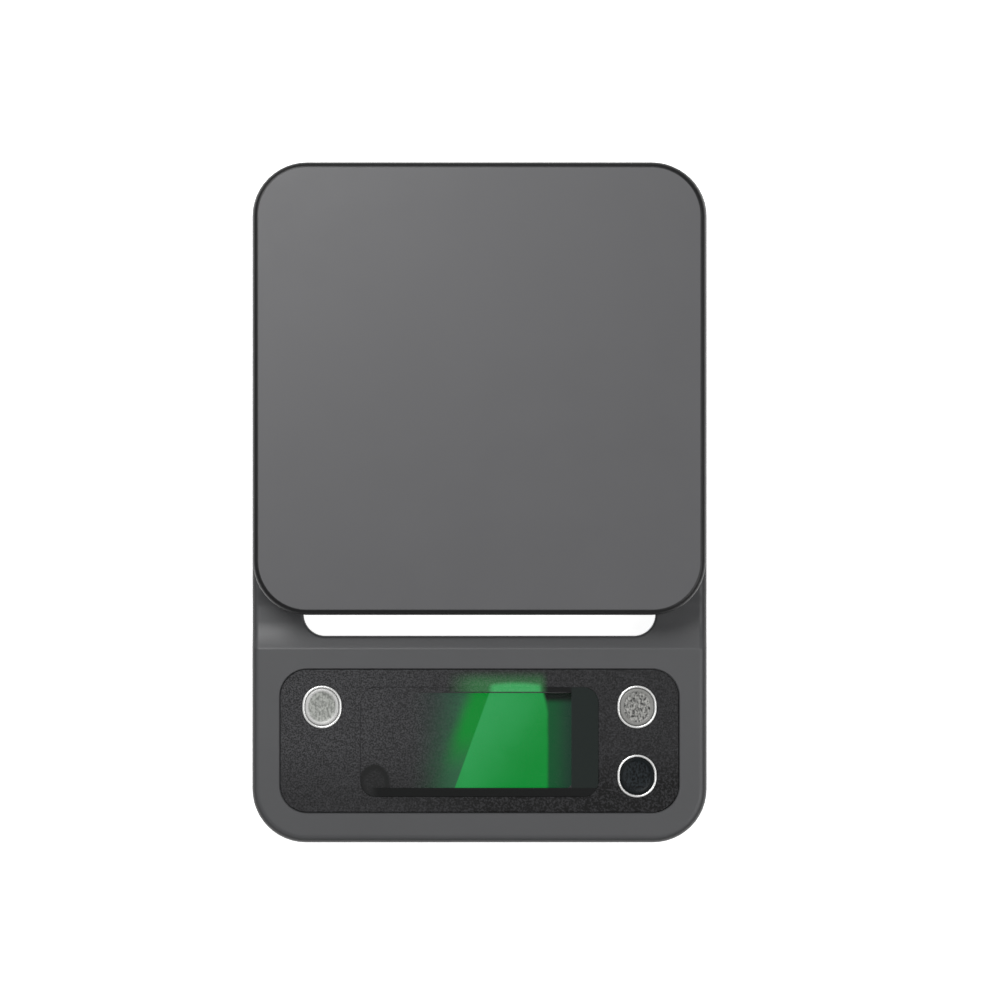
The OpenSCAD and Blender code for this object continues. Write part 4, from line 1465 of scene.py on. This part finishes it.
@dataclass
class PushButton:
    """One panel button: its cap, which moves, and the bright ring in the panel."""

    name: str
    look: CapLook
    rim: float = 0.4
    dish: float = 0.22
    flange: float = 1.0
    flange_top: float = 0.4
    ring_wall: float = 0.7
    ring_crown: float = 0.3

    def build(self, ring_finish: Metal) -> None:
        """Builds the cap and the ring."""
        self._cap()
        self._ring(ring_finish)

    def _cap(self) -> None:
        """The cap with its flange and shallow dished top."""
        node = f"{self.name}_button"
        box = NodeBox.of(node)
        flange, top, low, middle = self.flange, box.high.z, box.low.z, box.middle
        width, length = box.size.x - 2 * flange, box.size.y - 2 * flange
        plan = round_plan(middle, width, length, 14)
        upper = low + self.flange_top
        rings: list[RingSpec] = [(-flange + 0.1, low), (-flange, low + 0.1), (-flange, upper), (0.0, upper)]
        rings += fillet(self.rim, top, steps=6)
        rings += [
            (self.rim + 0.35, top),
            (self.rim + 0.6, top - self.dish * 0.4),
            (self.rim + 1.0, top - self.dish),
            (self.rim + 2.4, top - self.dish * 1.05),
        ]
        cap = Workpiece(loft(f"{node}_cap", plan, rings)).smooth()
        material = self.look.finish((middle.x, middle.y)).make()
        dress(cap.object, material, self.name, self.look.value[4], node)

    def _ring(self, finish: Metal) -> None:
        """Builds the bright ring as a closed loop of rings.

        Args:
            finish: Its finish.
        """
        node = f"{self.name}_button_ring"
        box = NodeBox.of(node)
        thick, rise, low, top = self.ring_wall, self.ring_crown, box.low.z, box.high.z
        plan = round_plan(box.middle, box.size.x, box.size.y, 18)
        half = thick / 2
        crown = [(half - half * math.cos(a), top - rise + rise * math.sin(a)) for a in arc_angles(8)]
        rings: list[RingSpec] = [(0.0, low), *crown, (thick, low)]
        ring = Workpiece(loft(f"{node}_rim", plan, rings, looped=True)).smooth(sharp=50.0)
        dress(ring.object, finish.make(), "base", "ring_chrome", node)


def round_plan(middle: Vector, width: float, length: float, steps: int) -> Plan:
    """The plan of a button or its ring: two half circles joined by short straight sides."""
    return Plan(width, length, width / 2, width / 2, middle.x, middle.y, steps)


def arc_angles(steps: int) -> list[float]:
    """Angles of a half turn in equal steps."""
    return [math.pi * i / steps for i in range(steps + 1)]


@dataclass
class ControlPanel:
    """The grained panel plate, the smoked pane in it and the lit field below."""

    corner: float = 7.5
    window_corner: float = 4.2
    pane_gap: float = 0.03
    ring_gap: float = 0.1
    soften: float = 0.18
    pane_soften: float = 0.05
    black: Colour = (0.022, 0.022, 0.0235)
    grain: float = 0.6
    speckle: float = 0.85

    def build(self) -> None:
        """Builds the plate, the pane and the lit field."""
        self._plate()
        self._pane()
        self._field()

    def _plate(self) -> None:
        """The plate with openings for the pane and the button rings."""
        box, pane = NodeBox.of("control_panel"), NodeBox.of("display_window")
        soft = self.soften
        plan = Plan.round_rect(box.size.x, box.size.y, self.corner, 0.0, box.middle.y)
        body = Workpiece(loft("panel_plate", plan, [(0.0, box.low.z), *fillet(soft, box.high.z, steps=3)]))
        gap, head = self.pane_gap, box.high.z
        width, length = pane.size.x + 2 * gap, pane.size.y + 2 * gap
        window = Plan.round_rect(width, length, self.window_corner + gap, 0.0, pane.middle.y)
        body.cut(loft("window_opening", window, self._opening(head, self.pane_soften)))
        for name in BUTTONS:
            ring = NodeBox.of(f"{name}_button_ring")
            hole = round_plan(ring.middle, ring.size.x + self.ring_gap, ring.size.y + self.ring_gap, 18)
            body.cut(loft("ring_opening", hole, self._opening(head, soft)))
        finish = PanelGrain("panel_grain", self.black, **self._grain())
        dress(body.smooth().object, finish.make(), "base", "panel_plastic", "control_panel")

    @staticmethod
    def _opening(head: float, soft: float) -> list[RingSpec]:
        """The rings that cut an opening with a broken upper edge at the face."""
        return [(0.0, 0.0), (0.0, head - soft), (-soft, head), (-soft, head + 5.0)]

    def _grain(self) -> dict[str, float]:
        """What the plate's and the pane's grain have in common."""
        grain = {"roughness": 0.5, "grain": self.grain, "depth": 0.05}
        return grain | {"mottle": 0.2, "specular": 0.22, "speckle": self.speckle}

    def _pane(self) -> None:
        """The pane with a rounded upper edge."""
        box = NodeBox.of("display_window")
        plan = Plan.round_rect(box.size.x, box.size.y, self.window_corner, 0.0, box.middle.y)
        body = Workpiece(loft("display_pane", plan, [(0.0, box.low.z), *fillet(0.08, box.high.z, steps=2)]))
        finish = PaneFinish("smoked_pane", self.black, **self._grain(), sole=box.low.z)
        dress(body.smooth().object, finish.make(), "base", "window_acrylic", "display_window")

    def _field(self) -> None:
        """The display glass: a lower plate and a shorter upper one with a ground edge."""
        box = NodeBox.of("lcd_glass")
        middle, half = box.middle, (box.low.z + box.high.z) / 2
        plan = Plan.round_rect(box.size.x, box.size.y, 0.5, 0.0, middle.y)
        body = Workpiece(loft("lit_field", plan, [(0.1, box.low.z), (0.0, box.low.z + 0.1), (0.0, half)]))
        upper = Plan.round_rect(box.size.x, box.size.y - 3.4, 0.5, 0.0, middle.y)
        body.add(loft("upper_glass", upper, [(0.0, half - 0.1), (0.0, box.high.z - 0.1), (0.1, box.high.z)]))
        finish = LitField(
            "lit_green",
            # The bright and deep colours are the painted reflection in the glow.
            bright=(0.03, 0.375, 0.095),
            deep=(0.001, 0.275, 0.034),
            fringe=(0.0, 0.26, 0.026),
            haze=(0.03, 0.13, 0.06),
            dark=(0.042, 0.07, 0.06),
            dim=(0.004, 0.085, 0.024),
            low=(-6.8, -79.4),
            high=(3.5, -51.1),
            right=19.0,
        )
        dress(body.smooth().object, finish.make(), "base", "lcd_glass", "lcd_glass")


@dataclass
class Underside:
    """The grained feet, the battery door and the small recessed button."""

    door_thick: float = 1.1
    door_round: float = 5.0
    door_waist: float = 1.4
    pin_radius: float = 0.7

    def build(self, door_finish: Moulded) -> None:
        """Builds the feet, the door and the button.

        Args:
            door_finish: The door's finish.
        """
        rubber = Moulded(
            "foot_rubber",
            (0.06, 0.061, 0.063),
            roughness=0.75,
            grain=0.45,
            depth=0.09,
            mottle=0.2,
            specular=0.3,
            speckle=0.3,
        ).make()
        for node in FOOT_NODES:
            self._foot(node, rubber)
        self._door(door_finish)
        self._unit_button()

    def _foot(self, node: str, rubber: bpy.types.Material) -> None:
        """Builds one foot: a low round pad with a softened edge and a shallow dished face.

        Args:
            node: The node that it stands for.
            rubber: Its material.
        """
        box = NodeBox.of(node)
        radius, low, top = box.size.x / 2, box.low.z, box.high.z
        rings: list[RingSpec] = [
            (radius - 2.2, low + 0.06),
            (radius - 1.1, low + 0.05),
            (radius - 0.75, low),
            (radius - 0.45, low),
            (radius - 0.13, low + 0.13),
            (radius, low + 0.45),
            (radius, top - 0.15),
            (radius - 0.15, top),
        ]
        foot = Workpiece(disc(f"{node}_pad", box.middle.x, box.middle.y, rings)).smooth()
        dress(foot.object, rubber, "base", "foot_rubber", node)

    def _door(self, finish: Moulded) -> None:
        """Builds the battery door, which turns up round the pod's edge.

        Args:
            finish: Its finish.
        """
        box = NodeBox.of("battery_door")
        waist = self.door_waist
        half, middle = box.size.x / 2 - DOOR_EAR, box.middle.x
        front, back, low, top = box.low.y, box.high.y, box.low.z, box.high.z
        radius, thick, steps = self.door_round, self.door_thick, 10
        y, z = back - radius, low + radius
        sweep = [HALF_PI * i / steps for i in range(steps + 1)]
        outer, inner = (
            [(y + r * math.sin(a), z - r * math.cos(a)) for a in sweep] for r in (radius, radius - thick)
        )
        profile = [(front, low), *outer, (back, top), (back - thick, top), *inner[::-1], (front, low + thick)]
        side = [
            (half, front),
            (half, front + 2.6),
            (half - waist, front + 4.0),
            (half - waist, front + 11.8),
            (half - 0.2, front + 12.8),
            (half - 0.2, back + 2.0),
        ]
        reach = half + 5.0
        body = Workpiece(prism("battery_door_leaf", profile, middle - reach, middle + reach, along_x=True))
        body.keep(prism("door_outline", mirrored(side, middle), low - 3.0, top + 3.0))
        pivot = axis_of("battery_door_hinge")
        for x in (middle - half, middle + half - waist):
            body.add(block((x, x + waist), (front + 0.01, front + 2.59), (low + 0.2, pivot.z + 0.9)))
        for start, end in ((box.low.x, middle - half + 0.5), (middle + half - 0.5, box.high.x)):
            body.add(self._pin(start, end, pivot))
        leaf = body.smooth(sharp=30.0, bevel=0.12).object
        dress(leaf, finish.make(), "door", "door_plastic", "battery_door")

    def _pin(self, start: float, end: float, pivot: Vector) -> bpy.types.Object:
        """Builds one hinge pin along X.

        Args:
            start: Where it starts.
            end: Where it ends.
            pivot: A point on its axis.

        Returns:
            The pin.
        """
        count, radius = 28, self.pin_radius
        turns = [2 * math.pi * i / count for i in range(count)]
        points = [(pivot.y + radius * math.cos(a), pivot.z + radius * math.sin(a)) for a in turns]
        return prism("pin", points, start, end, along_x=True)

    def _unit_button(self) -> None:
        """The small button in its hole, with a flange inside the shell."""
        box = NodeBox.of("unit_button")
        flange, cap = box.size.x / 2, 1.4
        low, top = box.low.z, box.high.z
        rings: list[RingSpec] = [
            (cap - 0.8, low + 0.08),
            (cap - 0.45, low + 0.03),
            (cap - 0.2, low),
            (cap - 0.05, low + 0.06),
            (cap, low + 0.2),
            (cap, top - 0.45),
            (flange, top - 0.45),
            (flange, top),
        ]
        button = Workpiece(disc("unit_button_cap", box.middle.x, box.middle.y, rings)).smooth()
        finish = Moulded("unit_cap", (0.035, 0.036, 0.038), 0.5, 0.3, 0.02)
        dress(button.object, finish.make(), "unit", "shell_plastic", "unit_button")


def outline_of(node: str, radius: float) -> Plan:
    """The plan of a node with four round corners."""
    box = NodeBox.of(node)
    return Plan.round_rect(box.size.x, box.size.y, radius, box.middle.x, box.middle.y)


def axis_of(joint: str) -> Vector:
    """Where a hinge's axis is, in millimetres."""
    found = next(j for j in frame["joints"] if j["name"] == joint)
    return Vector(found["pos_m"]) / MM


class Innards:
    """The carried-over nodes, dressed by the record's material slots."""

    def __init__(self) -> None:
        """Prepares one finish for each slot: colour, roughness, size and depth of the grain, mottling."""
        self.finishes: dict[str, Any] = {
            "bracket_plastic": Moulded("bracket_plastic", (0.028, 0.028, 0.03), 0.5, 0.5, 0.02),
            "pad_silicone": Moulded("pad_silicone", (0.1, 0.1, 0.1), 0.7, 0.5, 0.03),
            "backlight": Moulded("backlight", (0.03, 0.5, 0.12), 0.3, 0.8, 0.01),
            "steel": Metal("screw_steel", (0.55, 0.55, 0.56), 0.32),
            "contact_nickel": Metal("contact_nickel", (0.66, 0.62, 0.54), 0.28),
            "aluminium": Metal("milled_aluminium", (0.72, 0.73, 0.75), 0.34, (1.0, 0.05, 1.0)),
            "silicone": Moulded("white_silicone", (0.8, 0.8, 0.76), 0.5, 1.8, 0.06),
            "board": Board("green_board"),
            "black_part": Moulded("black_part", (0.014, 0.014, 0.016), 0.4, 0.6, 0.015),
            "component": Moulded("component_body", (0.2, 0.16, 0.1), 0.45, 0.9, 0.02, 0.5),
            "connector": Moulded("connector_nylon", (0.78, 0.75, 0.66), 0.42, 1.2, 0.01),
            "lead_red": Moulded("red_lead", (0.45, 0.015, 0.012), 0.42, 0.7, 0.01),
            "lead_grey": Moulded("grey_lead", (0.09, 0.09, 0.095), 0.48, 0.7, 0.01),
            "zebra": Moulded("zebra_strip", (0.6, 0.24, 0.28), 0.6, 0.5, 0.02, 0.4),
            "shell_plastic": Moulded("inner_plastic", (0.05, 0.051, 0.053), 0.5, 0.4, 0.01),
        }

    def dress(self) -> None:
        """Gives each shown node the finish of its slot."""
        made: dict[str, bpy.types.Material] = {}
        for part in frame["record"]["subparts"]:
            node, slot = part["node"], part["material_slot"]
            piece = frame["nodes"][node]
            if piece.hide_render:
                continue
            if slot == "battery_wrap":
                material = self._wrap(node)
            else:
                if slot not in made:
                    made[slot] = self.finishes[slot].make()
                material = made[slot]
            piece.data.materials.clear()
            piece.data.materials.append(material)
            LOG.info("dressed %s", node)

    @staticmethod
    def _wrap(node: str) -> bpy.types.Material:
        """Builds the printed sleeve of one battery.

        Args:
            node: The battery's node.

        Returns:
            The sleeve's material.
        """
        flip = 1 if node == "battery_rear" else -1
        middle = NodeBox.of(node).middle.x
        return Wrap(f"{node}_wrap", (0.03, 0.03, 0.033), (0.06, 0.24, 0.1), middle, flip).make()


@dataclass
class Studio:
    """The pale floor, the soft lights and the camera."""

    floor_half: float = 2500.0
    lens: float = 400.0
    frame_width: float = 279.4
    aim: Point = (5.73, 0.7)
    level: float = 14.0
    floor_level: float = -0.05
    glow: float = 0.9
    sky: float = 0.3

    def camera(self) -> None:
        """A long lens straight above the object."""
        data = bpy.data.cameras.new("camera")
        data.lens = self.lens
        data.sensor_width = 36.0
        data.clip_end = 50.0
        eye = bpy.data.objects.new("camera", data)
        distance = self.frame_width / data.sensor_width * self.lens
        eye.location = (self.aim[0] * MM, self.aim[1] * MM, (self.level + distance) * MM)
        bpy.context.scene.collection.objects.link(eye)
        bpy.context.scene.camera = eye

    def floor(self) -> None:
        """A wide pale floor that glows a little, as a light table does."""
        half = self.floor_half
        mesh = bmesh.new()
        corners = [(-half, -half), (half, -half), (half, half), (-half, half)]
        mesh.faces.new([mesh.verts.new((x, y, self.floor_level)) for x, y in corners])
        floor = skin_of("studio_floor", mesh)
        recipe = Recipe("pale_floor")
        cloud = recipe.noise(60.0, 2.0)
        values = {
            "Base Color": recipe.mix(cloud, (0.8, 0.8, 0.8), (0.82, 0.82, 0.82)),
            "Roughness": 0.6,
            "Emission Color": (1.0, 1.0, 1.0),
            "Emission Strength": self.glow,
        }
        floor.data.materials.append(recipe.done(recipe.shader(values)))

    def lights(self) -> None:
        """A large key light behind the left, a wide fill before the right and an even sky."""
        self._area("key", (-150.0, 205.0, 500.0), 260.0, 2.15)
        self._area("fill", (420.0, -160.0, 700.0), 500.0, 2.0)
        world = bpy.data.worlds.new("studio")
        world.use_nodes = True
        background = world.node_tree.nodes["Background"]
        background.inputs["Color"].default_value = (1.0, 1.0, 1.0, 1.0)
        background.inputs["Strength"].default_value = self.sky
        bpy.context.scene.world = world
        bpy.context.scene.view_settings.view_transform = "Standard"

    @staticmethod
    def _area(name: str, spot: tuple[float, float, float], size: float, power: float) -> None:
        """Adds one square soft light that points at the object.

        Args:
            name: Its name.
            spot: Where it is, in millimetres.
            size: The length of its side, in millimetres.
            power: Its power, in watts.
        """
        data = bpy.data.lights.new(name, "AREA")
        data.size = size * MM
        data.energy = power
        lamp = bpy.data.objects.new(name, data)
        lamp.location = Vector(spot) * MM
        lamp.rotation_mode = "QUATERNION"
        lamp.rotation_quaternion = (-Vector(spot)).to_track_quat("-Z", "Y")
        bpy.context.scene.collection.objects.link(lamp)

    def build(self) -> None:
        """Sets up the camera, the floor and the lights."""
        self.camera()
        self.floor()
        self.lights()


def write_sizes() -> None:
    """Updates the view layer."""
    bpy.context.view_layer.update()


def main() -> None:
    """Builds the studio and the sub-assemblies in order."""
    logging.basicConfig(level=logging.INFO, format="%(name)s: %(message)s")
    Studio().build()
    # The shell's finish paints shade along the outer edge of its outline.
    shell = EdgeShadedPlastic(
        "shell_plastic",
        (0.067, 0.068, 0.071),
        roughness=0.42,
        grain=0.3,
        depth=0.006,
        specular=0.42,
        plan=outline_of("upper_shell", CORNER),
        edge_shade_start=1.5,
        edge_shade_end=0.6,
        share=0.75,
    )
    # The plate's finish paints a darker shade along the outer edge of its outline.
    plate = EdgeShadedPlastic(
        "plate_satin",
        (0.085, 0.085, 0.089),
        roughness=0.4,
        grain=0.3,
        depth=0.004,
        mottle=0.04,
        specular=0.38,
        plan=outline_of("platform_cover", CORNER),
        edge_shade_colour=(0.005, 0.005, 0.0055),
    )
    door = Moulded(
        "door_plastic",
        (0.058, 0.06, 0.062),
        roughness=0.52,
        grain=0.3,
        depth=0.03,
        mottle=0.1,
        specular=0.4,
        speckle=0.15,
    )
    Shells().build(shell)
    Platform().build(plate)
    ControlPanel().build()
    chrome = Metal(
        "bright_ring",
        (0.9, 0.9, 0.89),
        roughness=0.28,
        stretch=(1.0, 1.0, 1.0),
        stain=0.12,
        depth=0.01,
        metallic=0.55,
    )
    for name, look in zip(BUTTONS, (CapLook.SILVER, CapLook.GREY, CapLook.BLACK)):
        PushButton(name, look).build(chrome)
    Underside().build(door)
    Innards().dress()
    write_sizes()


if __name__ == "__main__":
    main()
